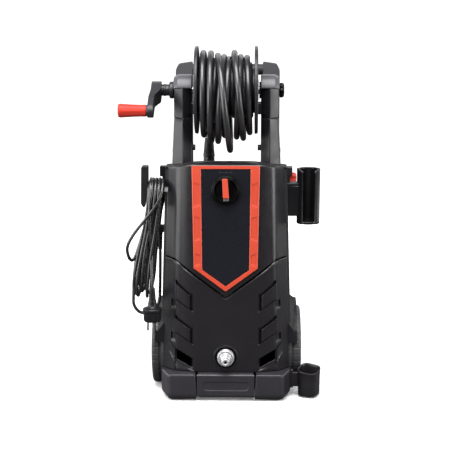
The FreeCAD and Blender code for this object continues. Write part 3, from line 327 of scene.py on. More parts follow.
def turned_rings(profile, centre, axis="X", segments=64, shape=None):
    """Rings of a turned form. profile holds (along, radius); shape may change both at an angle."""
    along, across, up = AXES[axis]
    rings = []
    for distance, radius in profile:
        ring = []
        for step in range(segments):
            turn = 2 * math.pi * step / segments
            far, out = (distance, radius) if shape is None else shape(distance, radius, turn)
            ring.append(Vector(centre) + along * far
                        + (across * math.cos(turn) + up * math.sin(turn)) * out)
        rings.append(ring)
    return rings


def softened(profile, cut=0.8, steps=3):
    """An open profile with its inner corners rounded."""
    corners = [Vector((*point, 0)) for point in profile]
    points = corners[:1]
    for before, corner, after in zip(corners, corners[1:], corners[2:]):
        points += corner_curve(before, corner, after, cut, 0.45, steps)
    points.append(corners[-1])
    return [(point.x, point.y) for point in points]


def ribs(count, start, pitch, wide, taper, steps):
    """A run of alike ribs for a profile; steps holds (along, out) from the start of each rib."""
    profile = []
    for index in range(count):
        profile += [(start + pitch * index + along, wide + taper * index + out)
                    for along, out in steps]
    return profile


def turned(name, profile, centre, body, material, hides=(), axis="X", segments=64, cut=0.8,
           shape=None, closed=False, steps=3, angle=32):
    """A turned form. A closed profile is a ring with a hole; an open one ends on the axis."""
    if closed:
        profile = [(point.x, point.y) for point in rounded([(*p, 0) for p in profile], cut, 3)]
        profile.append(profile[0])
    elif cut:
        profile = softened(profile, cut, steps)
    rings = turned_rings(profile, centre, axis, segments, shape)
    return lofted(name, rings, body, material, hides, caps=not closed, angle=angle)


def joined(name, pieces):
    """Several pieces of the same material made one; the first keeps its name's place."""
    first = pieces[0]
    bpy.ops.object.select_all(action="DESELECT")
    for piece in pieces:
        piece.select_set(True)
    bpy.context.view_layer.objects.active = first
    bpy.ops.object.join()
    first.name = name
    return first


def smoothstep(value, low, high):
    """0 below low, 1 above high, and a smooth rise between them."""
    share = np.clip((value - low) / (high - low), 0, 1)
    return share * share * (3 - 2 * share)


# ---------------------------------------------------------------- camera, floor and light

CAMERA_PLACE = (45.9, -2372.5, 783)
CAMERA_LENS = 92
CAMERA_DOWN = 10.5
CAMERA_LEFT = 1.2


def add_camera():
    """Just above the reel's height, 2.4 m in front, looking a little down and to the left."""
    camera = bpy.data.cameras.new("camera")
    camera.sensor_width = 36
    camera.lens = CAMERA_LENS
    camera.clip_end = 50
    view = bpy.data.objects.new("camera", camera)
    bpy.context.scene.collection.objects.link(view)
    view.location = place(CAMERA_PLACE)
    view.rotation_euler = (math.radians(90 - CAMERA_DOWN), 0, math.radians(CAMERA_LEFT))
    bpy.context.scene.camera = view


def seen_or_reflected(tree, seen, reflected, output):
    """Join what camera rays meet and what all other rays meet into one output."""
    ray = tree.nodes.new("ShaderNodeLightPath")
    blend = tree.nodes.new("ShaderNodeMixShader")
    tree.links.new(ray.outputs["Is Camera Ray"], blend.inputs[0])
    tree.links.new(reflected.outputs[0], blend.inputs[1])
    tree.links.new(seen.outputs[0], blend.inputs[2])
    tree.links.new(blend.outputs[0], output)


FLOOR_HALF = 14.0
CARD_GREY = (0.11, 0.11, 0.11, 1)
WHITE = (1, 1, 1, 1)
SEEN_STRENGTH = 1.25
ROOM_STRENGTH = 0.14


def add_stage():
    """A white floor and a white room. Reflections see a darker floor, as if cards lay on it."""
    half = FLOOR_HALF
    mesh = bpy.data.meshes.new("floor")
    corners = [(-half, -half, 0), (half, -half, 0), (half, half, 0), (-half, half, 0)]
    mesh.from_pydata(corners, [], [(0, 1, 2, 3)])
    floor = bpy.data.objects.new("floor", mesh)
    bpy.context.scene.collection.objects.link(floor)
    material = surface("floor_paint", None, (0.92, 0.92, 0.92), 0.8, 0.05, 0.01, grain=0.0, wear=0.0,
                       specular=0.0)
    tree = material.node_tree
    shader = tree.nodes["Principled BSDF"]
    shader.inputs["Emission Color"].default_value = WHITE
    where = tree.nodes.new("ShaderNodeTexCoord").outputs["Object"]
    length = tree.nodes.new("ShaderNodeVectorMath")
    length.operation = "LENGTH"
    tree.links.new(where, length.inputs[0])
    glow = ranged(tree, length.outputs["Value"], 0.10, 1.1, 0.35, 2.2)
    tree.links.new(glow, shader.inputs["Emission Strength"])
    card = node_of(tree, "ShaderNodeBsdfDiffuse", Color=CARD_GREY)
    seen_or_reflected(tree, shader, card, tree.nodes["Material Output"].inputs["Surface"])
    mesh.materials.append(material)
    world = bpy.data.worlds.new("studio")
    bpy.context.scene.world = world
    world.use_nodes = True
    tree = world.node_tree
    tree.nodes.clear()
    seen = node_of(tree, "ShaderNodeBackground", Color=WHITE, Strength=SEEN_STRENGTH)
    room = node_of(tree, "ShaderNodeBackground", Color=WHITE, Strength=ROOM_STRENGTH)
    seen_or_reflected(tree, seen, room, tree.nodes.new("ShaderNodeOutputWorld").inputs[0])
    bpy.context.scene.view_settings.view_transform = "Standard"


# One row for each softbox, in metres and watts: name, place, width, height, power.
SOFTBOXES = (
    ("top", (-0.1, -0.85, 2.2), 1.9, 1.6, 84),
    ("left_wide", (-1.9, -0.95, 0.75), 2.0, 1.7, 48),
    ("right_wide", (2.0, -1.0, 0.75), 0.8, 1.7, 30),
    ("front", (0.3, -3.2, 2.1), 1.6, 1.0, 6),
    ("back", (0.0, 2.2, 1.9), 3.0, 1.4, 18),
    ("rear_left", (-2.0, 1.0, 0.78), 1.5, 1.55, 26),
    ("rear_right", (2.0, 1.0, 0.78), 1.5, 1.55, 18),
)
AIM = Vector((0, 0, 0.38))


def add_lights():
    """Softboxes round the machine, all aimed at its middle."""
    for name, at, width, height, power in SOFTBOXES:
        lamp = bpy.data.lights.new(name, "AREA")
        lamp.shape = "RECTANGLE"
        lamp.size = width
        lamp.size_y = height
        lamp.energy = power
        box = bpy.data.objects.new(name, lamp)
        bpy.context.scene.collection.objects.link(box)
        box.location = at
        box.rotation_euler = (AIM - Vector(at)).to_track_quat("-Z", "Y").to_euler()


# ---------------------------------------------------------------- cords

def cord_curve(name, points, diameter, body, material, hides):
    """A cord of one NURBS spline through the control points, in the frame's metres."""
    curve = bpy.data.curves.new(name, "CURVE")
    curve.dimensions = "3D"
    spline = curve.splines.new("NURBS")
    spline.points.add(len(points) - 1)
    for knot, point in zip(spline.points, points):
        knot.co = (*point, 1)
    spline.order_u = 3
    spline.use_endpoint_u = True
    curve.resolution_u = 5
    curve.bevel_depth = diameter / 2
    curve.bevel_resolution = 4
    curve.use_fill_caps = True
    cord = bpy.data.objects.new(name, curve)
    bpy.context.scene.collection.objects.link(cord)
    curve.materials.append(material)
    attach(cord, body)
    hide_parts(*hides)
    return cord


LEAD_THICK = 0.0065
HOSE_THICK = 0.012
LEAD_LOOP = [
    (-0.1373, -0.0400, 0.3000), (-0.1373, -0.0405, 0.2730), (-0.1378, -0.0420, 0.2450),
    (-0.1382, -0.0450, 0.2170), (-0.1385, -0.0493, 0.1900), (-0.1486, -0.0572, 0.1740),
    (-0.1648, -0.0670, 0.1680), (-0.1810, -0.0749, 0.1740), (-0.1910, -0.0778, 0.1900),
    (-0.1905, -0.0760, 0.2084),
]
LEAD_TAIL = [
    (-0.1500, -0.0940, 0.3050), (-0.1502, -0.0990, 0.2840), (-0.1496, -0.1055, 0.2640),
    (-0.1490, -0.1090, 0.2460), (-0.1490, -0.1096, 0.2340),
]
HOSE_TAIL = [
    (-0.0385, 0.0425, 0.5590), (-0.0382, 0.0493, 0.5410), (-0.0385, 0.0511, 0.5210),
    (-0.0387, 0.0509, 0.5010), (-0.0387, 0.0510, 0.4820),
]
# One row for each turn of the hank: X at the saddle, X at the bottom in front and behind,
# height of the middle of the bottom bend, radius about the saddle, how far the front stands off.
HANK_TURNS = [
    (-154.5, -189, -187, 236, 28.0, 0),
    (-146.8, -178, -176, 245, 28.0, 0),
    (-139.0, -166, -165, 240, 28.0, 0),
    (-131.0, -152, -151, 247, 28.0, 0),
    (-134.8, -158, -158, 238, 34.5, 1),
    (-142.0, -171, -170, 249, 34.5, 0),
    (-127.5, -204, -176, 314, 34.5, 9),
    (-148.6, -182, -180, 240, 34.5, 0),
]
HANK_REACH = 37
# A smooth turn through control points cuts inside them; this is its radius against theirs.
TURN_SHARE = 0.965
BEND_DEGREES = (28, 68, 112, 152)
SADDLE_Y = centre_of("cable_hank").y
SADDLE_Z = low_high("cable_hank")[1].z - HANK_REACH


def hank_points():
    """The hank's turns in millimetres: up behind the saddle, over it, and down in front."""
    points = []
    for turn, (top, front, back, low, radius, stand) in enumerate(HANK_TURNS):
        rise = SADDLE_Z - low
        start = HANK_TURNS[turn - 1][3] if turn else low
        reach = radius / TURN_SHARE
        for share in (0.03, 0.28, 0.52, 0.76, 0.97) if turn else (0.52, 0.76, 0.97):
            x = back + (top - back) * smoothstep(share, -0.1, 1.1)
            bow = 3.0 * math.sin(math.pi * share + turn)
            points.append((x + 0.4 * bow, SADDLE_Y + radius + 0.4 * bow,
                           start + (SADDLE_Z - start) * share))
        for degrees in BEND_DEGREES:
            turned_by = math.radians(degrees)
            points.append((top, SADDLE_Y + reach * math.cos(turned_by),
                           SADDLE_Z + reach * math.sin(turned_by)))
        for share in (0.03, 0.24, 0.48, 0.72, 0.97):
            x = top + (front - top) * smoothstep(share, -0.15, 1.1)
            bow = 2.6 * math.sin(math.pi * share * 1.3 + 1.7 * turn)
            points.append((x + 0.5 * bow, SADDLE_Y - radius - stand * math.sin(math.pi * share) ** 0.5
                           - 0.4 * abs(bow), SADDLE_Z - rise * share))
        after = HANK_TURNS[min(turn + 1, len(HANK_TURNS) - 1)]
        for step, degrees in enumerate(BEND_DEGREES):
            turned_by = math.radians(degrees)
            share = (step + 1) / 5
            bottom_radius = reach + (after[4] / TURN_SHARE - reach) * share
            points.append((front + (after[2] - front) * share,
                           SADDLE_Y - bottom_radius * math.cos(turned_by),
                           low - bottom_radius * math.sin(turned_by)))
    return points


def add_lead():
    """The power lead: out of its gland, round the hank and down to the plug, all one cord."""
    last = HANK_TURNS[-1]
    wound = hank_points()
    closing = [
        (last[2] + 2, SADDLE_Y + 34, 262), (-168, SADDLE_Y + 36, 318), (-158, SADDLE_Y + 35, 372),
        (-152.2, SADDLE_Y + 35, 410), (-152.2, SADDLE_Y + 31, 433), (-152.2, SADDLE_Y + 13, 449.5),
        (-152.2, SADDLE_Y - 13, 449.5), (-152.2, SADDLE_Y - 31, 433), (-152.4, SADDLE_Y - 35, 408),
        (-154, SADDLE_Y - 38, 372), (-153, SADDLE_Y - 37, 338),
    ]
    points = [place(Vector(p) / MM) for p in LEAD_LOOP]
    points += [place((-190.4, -74, 227)), place((-190.0, -64, 247)), place((-188.5, -51, 269)),
               place((-186.0, -40, 296))]
    points += [place(p) for p in wound + closing]
    points += [place(Vector(p) / MM) for p in LEAD_TAIL]
    return cord_curve("power_lead", points, LEAD_THICK, "washer", CABLE,
                      ("lead_loop", "cable_hank", "lead_tail"))


# One row for each slack turn of the hose, from its outer end inward: X and radius at the top,
# X and radius at the bottom, and how far it stands off at the front and at the back.
SLACK_TURNS = [
    (-47.0, 74, -45.5, 91, 0, 0),
    (-31.5, 74, -31.0, 104, 0, 0),
    (-17.5, 69, 8.0, 122, 8, 6),
    (-5.5, 66, -17.0, 104, 3, 4),
    (5.5, 62, -3.5, 92, 0, 0),
    (16.0, 75, 34.5, 97, 10, 10),
    (28.5, 66, 20.5, 95, 0, 0),
    (41.5, 65, 47.5, 86, 0, -6),
]
SECOND_START = -21.0
SECOND_LAYER = 60.5
FIRST_LAYER = 51.0
LAYER_END = 51.0
LAYER_PITCH = 12.2
LAYER_LAST = 50
TURN_POINTS = 16


def hose_turn(start, bottom, end, front=0, back=0):
    """One turn from above the axle, forward and down; start, bottom and end are (x, radius)."""
    points = []
    for step in range(TURN_POINTS):
        turn = 2 * math.pi * step / TURN_POINTS
        first, second = (start, bottom) if step < TURN_POINTS / 2 else (end, bottom)
        share = (1 - math.cos(turn)) / 2
        extra = front if step < TURN_POINTS / 2 else back
        radius = first[1] + (second[1] - first[1]) * share + extra * math.sin(turn) ** 2
        x = first[0] + (second[0] - first[0]) * share
        radius /= math.cos(math.pi / TURN_POINTS)
        points.append((x, AXLE.y - radius * math.sin(turn), AXLE.z + radius * math.cos(turn)))
    return points


def add_hose():
    """The wound hose: its outer end behind the reel, slack turns, then two tight layers."""
    points = [(-38.5, 42.5, 559), (-38.8, 41.5, 573), (-39.5, 43.5, 589), (-41, 49.5, 606),
              (-43, 55, 626), (-44.8, 55, 649), (-46, 45, 671), (-46.7, 23, 690), (-47, -4, 700.5)]
    starts = [row[:2] for row in SLACK_TURNS[1:]] + [(SECOND_START, SECOND_LAYER)]
    for (top, high, bottom, low, front, back), after in zip(SLACK_TURNS, starts):
        points += hose_turn((top, high), (bottom, low), after, front, back)
    spot = SECOND_START
    while spot > -LAYER_LAST:
        after = max(spot - LAYER_PITCH, -LAYER_END)
        radius = SECOND_LAYER if after > -LAYER_END else FIRST_LAYER
        points += hose_turn((spot, SECOND_LAYER), ((spot + after) / 2, SECOND_LAYER),
                            (after, radius))
        spot = after
    while spot < LAYER_LAST:
        after = min(spot + LAYER_PITCH, LAYER_END)
        points += hose_turn((spot, FIRST_LAYER), ((spot + after) / 2, FIRST_LAYER),
                            (after, FIRST_LAYER))
        spot = after
    points = points[:-3]
    points[-1] = tuple((a + b) / 2 for a, b in zip(points[-2], points[-1]))
    return cord_curve("wound_hose", [place(p) for p in points], HOSE_THICK, "reel", HOSE,
                      ("hose_coil",))


def add_hose_tail():
    """The short fixed end of the hose, down into its sleeve and coupling."""
    points = [place(Vector(p) / MM) for p in HOSE_TAIL]
    return cord_curve("hose_end", points, HOSE_THICK, "washer", HOSE, ("hose_tail",))


# ---------------------------------------------------------------- casing

SEAM_Y = -76.5
FACE_HALF = 70
CASE_LOW, CASE_HIGH = 58, 495
COVER_GAP = 3


def along_case(height, low, high):
    """A value that changes evenly from low at the casing's foot to high at its top."""
    return low + (high - low) * (height - CASE_LOW) / (CASE_HIGH - CASE_LOW)


def upper_front(height):
    """How far in front of Y = 0 the upper cover's face stands, which leans back going up."""
    return 121.3 - 16 * (height - 190) / 305


def lower_front(height):
    """How far in front of Y = 0 the lower cover's face stands."""
    return 112 + 6 * (height - CASE_LOW) / 252


def case_half(height):
    """Half the width of the casing at a height."""
    return along_case(height, 136, 122.3)


def crease_x(height):
    """Distance of the casing's front crease from the mid-plane."""
    return along_case(height, 105.5, 95)


# Places round the casing's outline: points along each straight run, with an arc between runs.
RUN_POINTS = (22, 24, 84, 24, 22)
CORNER_CUTS = (0, 7, 15, 15, 7, 0)
ARC_POINTS = 7
PLACES = []
for start_corner, run_points in enumerate(RUN_POINTS):
    if start_corner:
        PLACES += [("arc", start_corner, (step + 1) / (ARC_POINTS + 1))
                   for step in range(ARC_POINTS)]
    PLACES += [("run", start_corner, step / (run_points - 1)) for step in range(run_points)]


def plan_columns(height, front):
    """X and Y of the casing's outline, column by column, at the heights given for each column.

    height has one row for each level and one column for each place round the outline."""
    half = case_half(height)
    crease = crease_x(height)
    fore = front(height)
    share = (SEAM_Y + fore - 9) / (-70 + fore - 9)
    seam = crease + share * (half - crease)
    flat = np.full_like(height, FACE_HALF)
    seam_y = np.full_like(height, SEAM_Y)
    corners = [(-seam, seam_y), (-crease, 9 - fore), (-flat, -fore), (flat, -fore),
               (crease, 9 - fore), (seam, seam_y)]
    corners = [np.stack(corner, axis=-1) for corner in corners]
    spots = np.zeros((*height.shape, 2))
    for column, (kind, index, share) in enumerate(PLACES):
        here = corners[index][:, column]
        if kind == "run":
            after = corners[index + 1][:, column]
            step = after - here
            long = np.linalg.norm(step, axis=1, keepdims=True)
            start = here + step / long * CORNER_CUTS[index]
            end = after - step / long * CORNER_CUTS[index + 1]
            spots[:, column] = start + (end - start) * share
        else:
            before = corners[index - 1][:, column] - here
            after = corners[index + 1][:, column] - here
            cut = CORNER_CUTS[index]
            start = here + before / np.linalg.norm(before, axis=1, keepdims=True) * cut
            end = here + after / np.linalg.norm(after, axis=1, keepdims=True) * cut
            spots[:, column] = (start * (1 - share) ** 2 + here * 2 * share * (1 - share)
                                + end * share ** 2)
    return spots[..., 0], spots[..., 1]


def column_distance(height, front):
    """How far each column is from the mid-plane at one height."""
    x = plan_columns(np.full((1, len(PLACES)), float(height)), front)[0]
    return np.abs(x[0])


def groove_height(distance):
    """The height of the V groove between the covers, by distance from the mid-plane."""
    inner = 215 + 75 * np.minimum(distance, 102) / 102
    return inner + 4 * np.maximum(distance - 102, 0) / 58


def roof_height(x, y):
    """The height of the crown over the casing."""
    across = np.interp(np.abs(x), [0, 20, 40, 60, 78, 96, 150],
                       [491.4, 490.7, 489.0, 486.2, 483.4, 480.4, 470])
    along = np.interp(y, [-140, -107, -98, -90, -80, -72, -60, 0, 100, 140],
                      [470, 482, 486.4, 488.9, 488.9, 487.6, 484.6, 468.6, 455, 446])
    return np.minimum(across, along)


def shell_piece(name, points, faces, hides):
    """A cover made of one open sheet, with its wall and its shading."""
    piece = finish_piece(name, mesh_from(name, points, faces), "washer", CASING, hides,
                         angle=50)
    walled(piece, 2.6)
    weighted = piece.modifiers.new("weighted", "WEIGHTED_NORMAL")
    weighted.keep_sharp = True
    return piece


def upper_cover():
    """The upper front cover: a leaning front over the V groove, rolled over into the roof."""
    distance = column_distance(300, upper_front)
    count = len(distance)
    bottom = groove_height(distance) + COVER_GAP
    crest = 4.0
    top = roof_height(distance, -np.maximum(upper_front(480) - 9 * (distance > 90), 0)) - crest
    levels = np.concatenate([[0, 0, 0.0], [0.6, 1.4, 3.0], np.linspace(20, 1000, 45)])
    inset = np.concatenate([[3.2, 1.2, 0.4], [0.1, 0, 0], np.zeros(45)])
    lift = np.concatenate([[0.0, 0.0, 0.35], levels[3:]])
    height = bottom + np.minimum(lift[:, None] / 1000 * (top - bottom), top - bottom)
    height[3:6] = bottom + lift[3:6, None]
    x, y = plan_columns(height, upper_front)
    y = y + inset[:, None]
    rows = [np.stack([x, y, height], axis=-1)]
    reach = SEAM_Y - y[-1]
    roll = np.minimum(crest, 0.45 * reach)
    for degrees in (22, 45, 68, 90):
        turn = math.radians(degrees)
        back = y[-1] + roll * (1 - math.cos(turn))
        level = roof_height(x[-1], y[-1] + roll)
        up = height[-1] + (level - height[-1]) * math.sin(turn)
        rows.append(np.stack([x[-1], back, up], axis=-1)[None])
    for share in np.linspace(0.08, 1, 10):
        back = y[-1] + roll + (SEAM_Y - y[-1] - roll) * share
        rows.append(np.stack([x[-1], back, roof_height(x[-1], back)], axis=-1)[None])
    grid = np.concatenate(rows)
    faces = grid_faces(len(grid), count)
    shell_piece("upper_cover_shell", grid.reshape(-1, 3), faces, ("upper_front_cover",))


def rear_roof():
    """The smooth crown over the rear cover, with openings for the handle's posts."""
    levels = [SEAM_Y + 0.5 + 197.5 * step / 66 for step in range(67)]
    levels += [122.0, 123.4, 124.8, 125.8, 126.0]
    shares = np.concatenate([[-1], -1 + np.array([0.004, 0.010, 0.018, 0.028]),
                             np.linspace(-0.955, 0.955, 83), 1 - np.array([0.028, 0.018, 0.010,
                                                                         0.004]), [1]])
    rows = []
    for y in levels:
        half = case_half(480) - max(0, y - 102) + 0.2
        x = shares * half
        from_edge = np.minimum(np.minimum(half - np.abs(x), 126.2 - y), 4.0)
        drop = 4.0 - np.sqrt(np.maximum(16 - (4 - from_edge) ** 2, 0))
        z = roof_height(x, np.full_like(x, y)) + 0.4 - drop
        rows.append(np.stack([x, np.full_like(x, y), z], axis=-1))
    grid = np.array(rows)

    def closed_here(row, column):
        spot = grid[row, column]
        post = 73.5 < abs(spot[0]) < 111 and 92.5 < spot[1] < 117.5
        return not post

    points = grid.reshape(-1, 3)
    faces = grid_faces(len(levels), len(shares), keep=closed_here)
    mesh = mesh_from("rear_roof", points, faces)
    piece = finish_piece("rear_roof", mesh, "washer", REAR_CASING, angle=50)
    walled(piece, 1.2)


# Height of each slanted line of the lower cover, at its inner end and at the crease: the top and
# the bottom of the vent window, of the lower gill and of the upper gill.
GILL_INNER = 68.4
GILL_LINES = ((62.5, 81.5), (86.3, 106.8), (115.9, 138.0), (151.5, 176.5), (185.5, 207.5),
              (222.9, 250.4))
APRON, WINDOW, LOWER_GILL, UPPER_GILL = 0, 1, 3, 5
GILL_OUTER = 103.0
BAND_ROWS = (12, 16, 14, 30, 14, 30, 24)
BAND_MARGIN = 0.6
CHANNEL_DEPTH = 7.0
SILL_DEPTH = 2.4
GILL_DEPTH = 1.2
WINDOW_DEPTH = 5.5
SCOOP_DEPTH = 5.0
OUTLET_HOLE = 23.6


def lower_cover():
    """The lower front cover, with two gills and a vent window at each side."""
    distance = column_distance(160, lower_front)
    count = len(distance)
    share = (np.clip(distance, GILL_INNER, GILL_OUTER) - GILL_INNER) / (GILL_OUTER - GILL_INNER)
    lines = [np.full(count, float(CASE_LOW))]
    lines += [low + (high - low) * share for low, high in GILL_LINES]
    lines.append(groove_height(distance))
    heights, bands, spans = [], [], []
    for band, rows in enumerate(BAND_ROWS):
        for row in range(rows):
            part = row / (rows - 1)
            low = lines[band] + (BAND_MARGIN if band else 0)
            high = lines[band + 1] - (BAND_MARGIN if band < len(BAND_ROWS) - 1 else 0)
            heights.append(low + (high - low) * part)
            bands.append(band)
            spans.append(part)
    height = np.array(heights)
    x, y = plan_columns(height, lower_front)
    crease = crease_x(150) - 1.0
    inside = smoothstep(distance, GILL_INNER - 0.7, GILL_INNER + 0.7)
    inside = inside * (1 - smoothstep(distance, crease - 1.5, crease + 1.5))
    across = np.clip((distance - GILL_INNER) / (crease - GILL_INNER), 0, 1)
    channel = 1 - smoothstep(across, 0.11, 0.18)
    beside = smoothstep(distance, crease, crease + 1.5) * (1 - smoothstep(distance, crease + 8,
                                                                        crease + 10))
    depth = np.zeros_like(height)
    for row, (band, part) in enumerate(zip(bands, spans)):
        if band in (LOWER_GILL, UPPER_GILL):
            under_top = smoothstep(part, 0.76, 0.86)
            under_low = 1 - smoothstep(part, 0.03, 0.08)
            cut = np.maximum(channel, under_top) * CHANNEL_DEPTH
            cut = np.maximum(cut, under_low * SILL_DEPTH)
            depth[row] = inside * np.maximum(cut, GILL_DEPTH)
        elif band == APRON:
            depth[row] = inside * (2.6 + 2.9 * smoothstep(part, 0.15, 1.0))
        elif band == WINDOW:
            depth[row] = inside * WINDOW_DEPTH
        elif band in (LOWER_GILL - 1, UPPER_GILL - 1):
            depth[row] = beside * 4.5 * smoothstep(part, 0.42, 0.55)
    groove = groove_height(distance) - height
    rim = 3.4 * (1 - smoothstep(groove, 0.2, 4.6)) * (distance < crease + 8)
    scoop_low = 81.4 + 1.36 * (distance - 104.1)
    scoop_high = 106.9 + 1.18 * (distance - 103.9)
    scoop = smoothstep(height, scoop_low - 2.0, scoop_low + 2.0)
    scoop = scoop * (1 - smoothstep(height, scoop_high - 2.0, scoop_high + 2.0))
    scoop = scoop * SCOOP_DEPTH * np.clip((115.5 - distance) / 11.5, 0, 1)
    scoop = scoop * smoothstep(distance, crease - 1.0, crease + 1.5)
    y = y + np.maximum(np.maximum(depth, rim), scoop)

    def solid(row, column):
        open_rows = bands[row] == WINDOW and bands[row + 1] == WINDOW
        open_rows = open_rows and spans[row] > 0.05 and spans[row + 1] < 0.97
        middle = (distance[column] + distance[column + 1]) / 2
        window = open_rows and GILL_INNER + 2.0 < middle < crease - 2.5
        spot_x = (x[row, column] + x[row, column + 1]) / 2
        spot_z = (height[row, column] + height[row + 1, column]) / 2
        outlet = math.hypot(spot_x - OUTLET.x, spot_z - OUTLET.z) < OUTLET_HOLE
        return not window and not outlet

    points = np.stack([x, y, height], axis=-1).reshape(-1, 3)
    faces = grid_faces(len(height), count, keep=solid)
    shell_piece("lower_cover_shell", points, faces, ("lower_front_cover",))


def outlet_recess():
    """The round recess in the lower cover that the outlet stands in."""
    front = -lower_front(OUTLET.z) - 0.9
    profile = [(front + 2.0, 25.6), (front + 0.4, 25.2), (front, 24.2), (front, 22.6),
               (front + 1.2, 21.7), (front + 12.0, 21.2), (front + 12.5, 20.2), (front + 12.5, 9.0)]
    centre = (OUTLET.x, 0, OUTLET.z)
    rings = turned_rings(softened(profile, 0.6), centre, "Y", 72)
    lofted("outlet_recess", rings, "washer", CASING, caps=False)


def rear_louvres():
    """A raised panel of ventilation slats on the back of the casing."""
    back = low_high("rear_cover")[1].y
    pieces = []
    frame_outline = rounded([(-58, back - 0.5, 322), (58, back - 0.5, 322), (58, back - 0.5, 438),
                             (-58, back - 0.5, 438)], 10)
    pieces.append(slab("rear_louvres", frame_outline, (0, 2.6, 0), "washer", CASING,
                       edge=0.9))
    for index in range(8):
        low = 331 + 12.6 * index
        section = [(0, back + 1.8, low), (0, back + 5.6, low + 1.0), (0, back + 5.6, low + 2.6),
                   (0, back + 1.8, low + 8.6)]
        outline = [Vector(p) - Vector((49, 0, 0)) for p in section]
        pieces.append(slab(f"slat_{index}", outline, (98, 0, 0), "washer", CASING,
                           edge=0.5, segments=2))
    joined("rear_louvres", pieces)


# ---------------------------------------------------------------- chassis

def foot_ring(side, height, inset):
    """A ring of the foot at one height, drawn in by inset."""
    top_inner, low_inner = 61.5, 58.5
    inner = low_inner + (top_inner - low_inner) * (height - 3) / 54
    corners = [(inner + 0.3 * inset, -130 + inset), (118 - 0.4 * inset, -130 + inset),
               (134 - inset, -88 + 0.4 * inset), (134 - inset, -74), (inner + 0.3 * inset, -74)]
    return rounded([(side * x, y, height) for x, y in corners], [4, 9, 7, 1, 1], 6)


def front_feet():
    """The two front feet, rounded off where they meet the floor and the casing."""
    levels = ((3, 8.5), (3.4, 6.6), (5.0, 5.0), (10, 1.4), (13, 0.5), (18, 0), (50, 0.3), (54, 0.7),
              (56, 1.6), (56.8, 2.8), (57, 4.4))
    for side, word in SIDES:
        rings = [foot_ring(side, height, inset) for height, inset in levels]
        piece = lofted(f"foot_{word}", rings, "washer", FOOT_PLASTIC,
                       (f"front_foot_{word}",), angle=60)
        piece.modifiers.new("weighted", "WEIGHTED_NORMAL")


def tray():
    """The chassis tray: a shallow box, and its front panel with a shallow rounded field."""
    right = [(57, -125.5), (57, -72), (112, -72), (112, 100), (95, 122)]
    outline = [(x, y) for x, y in right] + [(-x, y) for x, y in reversed(right)]
    levels = ((8, 3.0), (9.2, 1.0), (11, 0), (55.5, 0), (57, 1.2))
    rings = []
    for height, inset in levels:
        scaled = [(x * (1 - inset / 110), y * (1 - inset / 120), height) for x, y in outline]
        rings.append(rounded(scaled, 5, 4))
    lofted("tray_body", rings, "washer", FOOT_PLASTIC, ("base_tray",))
    across = np.linspace(-58.5, 58.5, 118)
    up = np.linspace(8.2, 57, 50)
    x, z = np.meshgrid(across, up)
    field = np.maximum(np.abs(x - 0.5) - 40, 0) ** 2 + np.maximum(np.abs(z - 32.2) - 3.5, 0) ** 2
    field = 1 - smoothstep(np.sqrt(field), 4.6, 6.2)
    roll = 3.0 * smoothstep(z, 53.5, 57.2) ** 2 + 4.0 * (1 - smoothstep(z, 8, 13)) ** 2
    y = -128.4 + 1.3 * field + roll
    points = np.stack([x, y, z], axis=-1).reshape(-1, 3)
    mesh = mesh_from("tray_front", points, grid_faces(50, 118))
    piece = finish_piece("tray_front", mesh, "washer", FOOT_PLASTIC, angle=60)
    walled(piece, 2)


# ---------------------------------------------------------------- control panel

LEAN = Matrix.Rotation(-math.atan2(16, 305), 4, "X")
PANEL_LINE = [(-49.5, 476), (49.5, 476), (47.2, 273.2), (0, 239.7), (-47.2, 273.2)]
TRIM_LINE = [(-68, 482.2), (68, 482.2), (64.2, 276.2), (0, 229.2), (-64.2, 276.2)]


def on_front(x, height, proud):
    """A point on the leaning front, so far proud of it."""
    return Vector((x, -upper_front(height), height)) + LEAN @ Vector((0, -proud, 0))


def control_panel():
    """The dark panel on the leaning front, under the knob."""
    outline = [on_front(x, z, 0.3) for x, z in PANEL_LINE]
    depth = LEAN @ Vector((0, -2.1, 0))
    slab("panel_plate", outline, depth, "washer", PANEL, ("control_panel",), edge=0.5)


def trim():
    """The V-shaped trim: a band with shallow embossed fields down its two sides."""
    section = ((0.0, 0.0), (0.0, 3.2), (0.07, 4.0), (0.16, 4.0), (0.20, 4.0), (0.26, 4.0),
               (0.5, 4.0), (0.74, 4.0), (0.80, 4.0), (0.84, 4.0), (0.93, 4.0), (1.0, 3.2),
               (1.0, 1.0))
    fields = ((402, 446.5), (334.5, 379.5), (283, 304.5))
    rows = []
    for index in range(5):
        after = (index + 1) % 5
        outer = [Vector((*TRIM_LINE[index], 0)), Vector((*TRIM_LINE[after], 0))]
        inner = [Vector((*PANEL_LINE[index], 0)), Vector((*PANEL_LINE[after], 0))]
        limb = index in (1, 4)
        count = 150 if limb else 16
        for step in range(count):
            share = step / count
            out = outer[0].lerp(outer[1], share)
            into = inner[0].lerp(inner[1], share)
            row = []
            for across, proud in section:
                spot = out.lerp(into, across)
                slant = 5.5 * (across - 0.5)
                if limb and 0.17 < across < 0.83:
                    for low, high in fields:
                        reach = min(spot.y - low - slant, high - slant - spot.y)
                        proud -= 1.1 * float(smoothstep(reach, -0.6, 1.0))
                row.append(on_front(spot.x, spot.y, proud))
            rows.append(row)
    count = len(section)
    last = (len(rows) - 1) * count
    closing = [(last + column, last + column + 1, column + 1, column)
               for column in range(count - 1)]
    mesh = row_mesh("trim_band", rows, closing)
    finish_piece("trim_band", mesh, "washer", ORANGE, ("trim_frame",), angle=28)


KNOB_HEIGHT = 433.7
KNOB_PLACE = Matrix.Translation(on_front(0, KNOB_HEIGHT, 0)) @ LEAN


def leaned(rings):
    """Rings drawn about the knob's own axis, put on the leaning front."""
    return [[KNOB_PLACE @ Vector(point) for point in ring] for ring in rings]


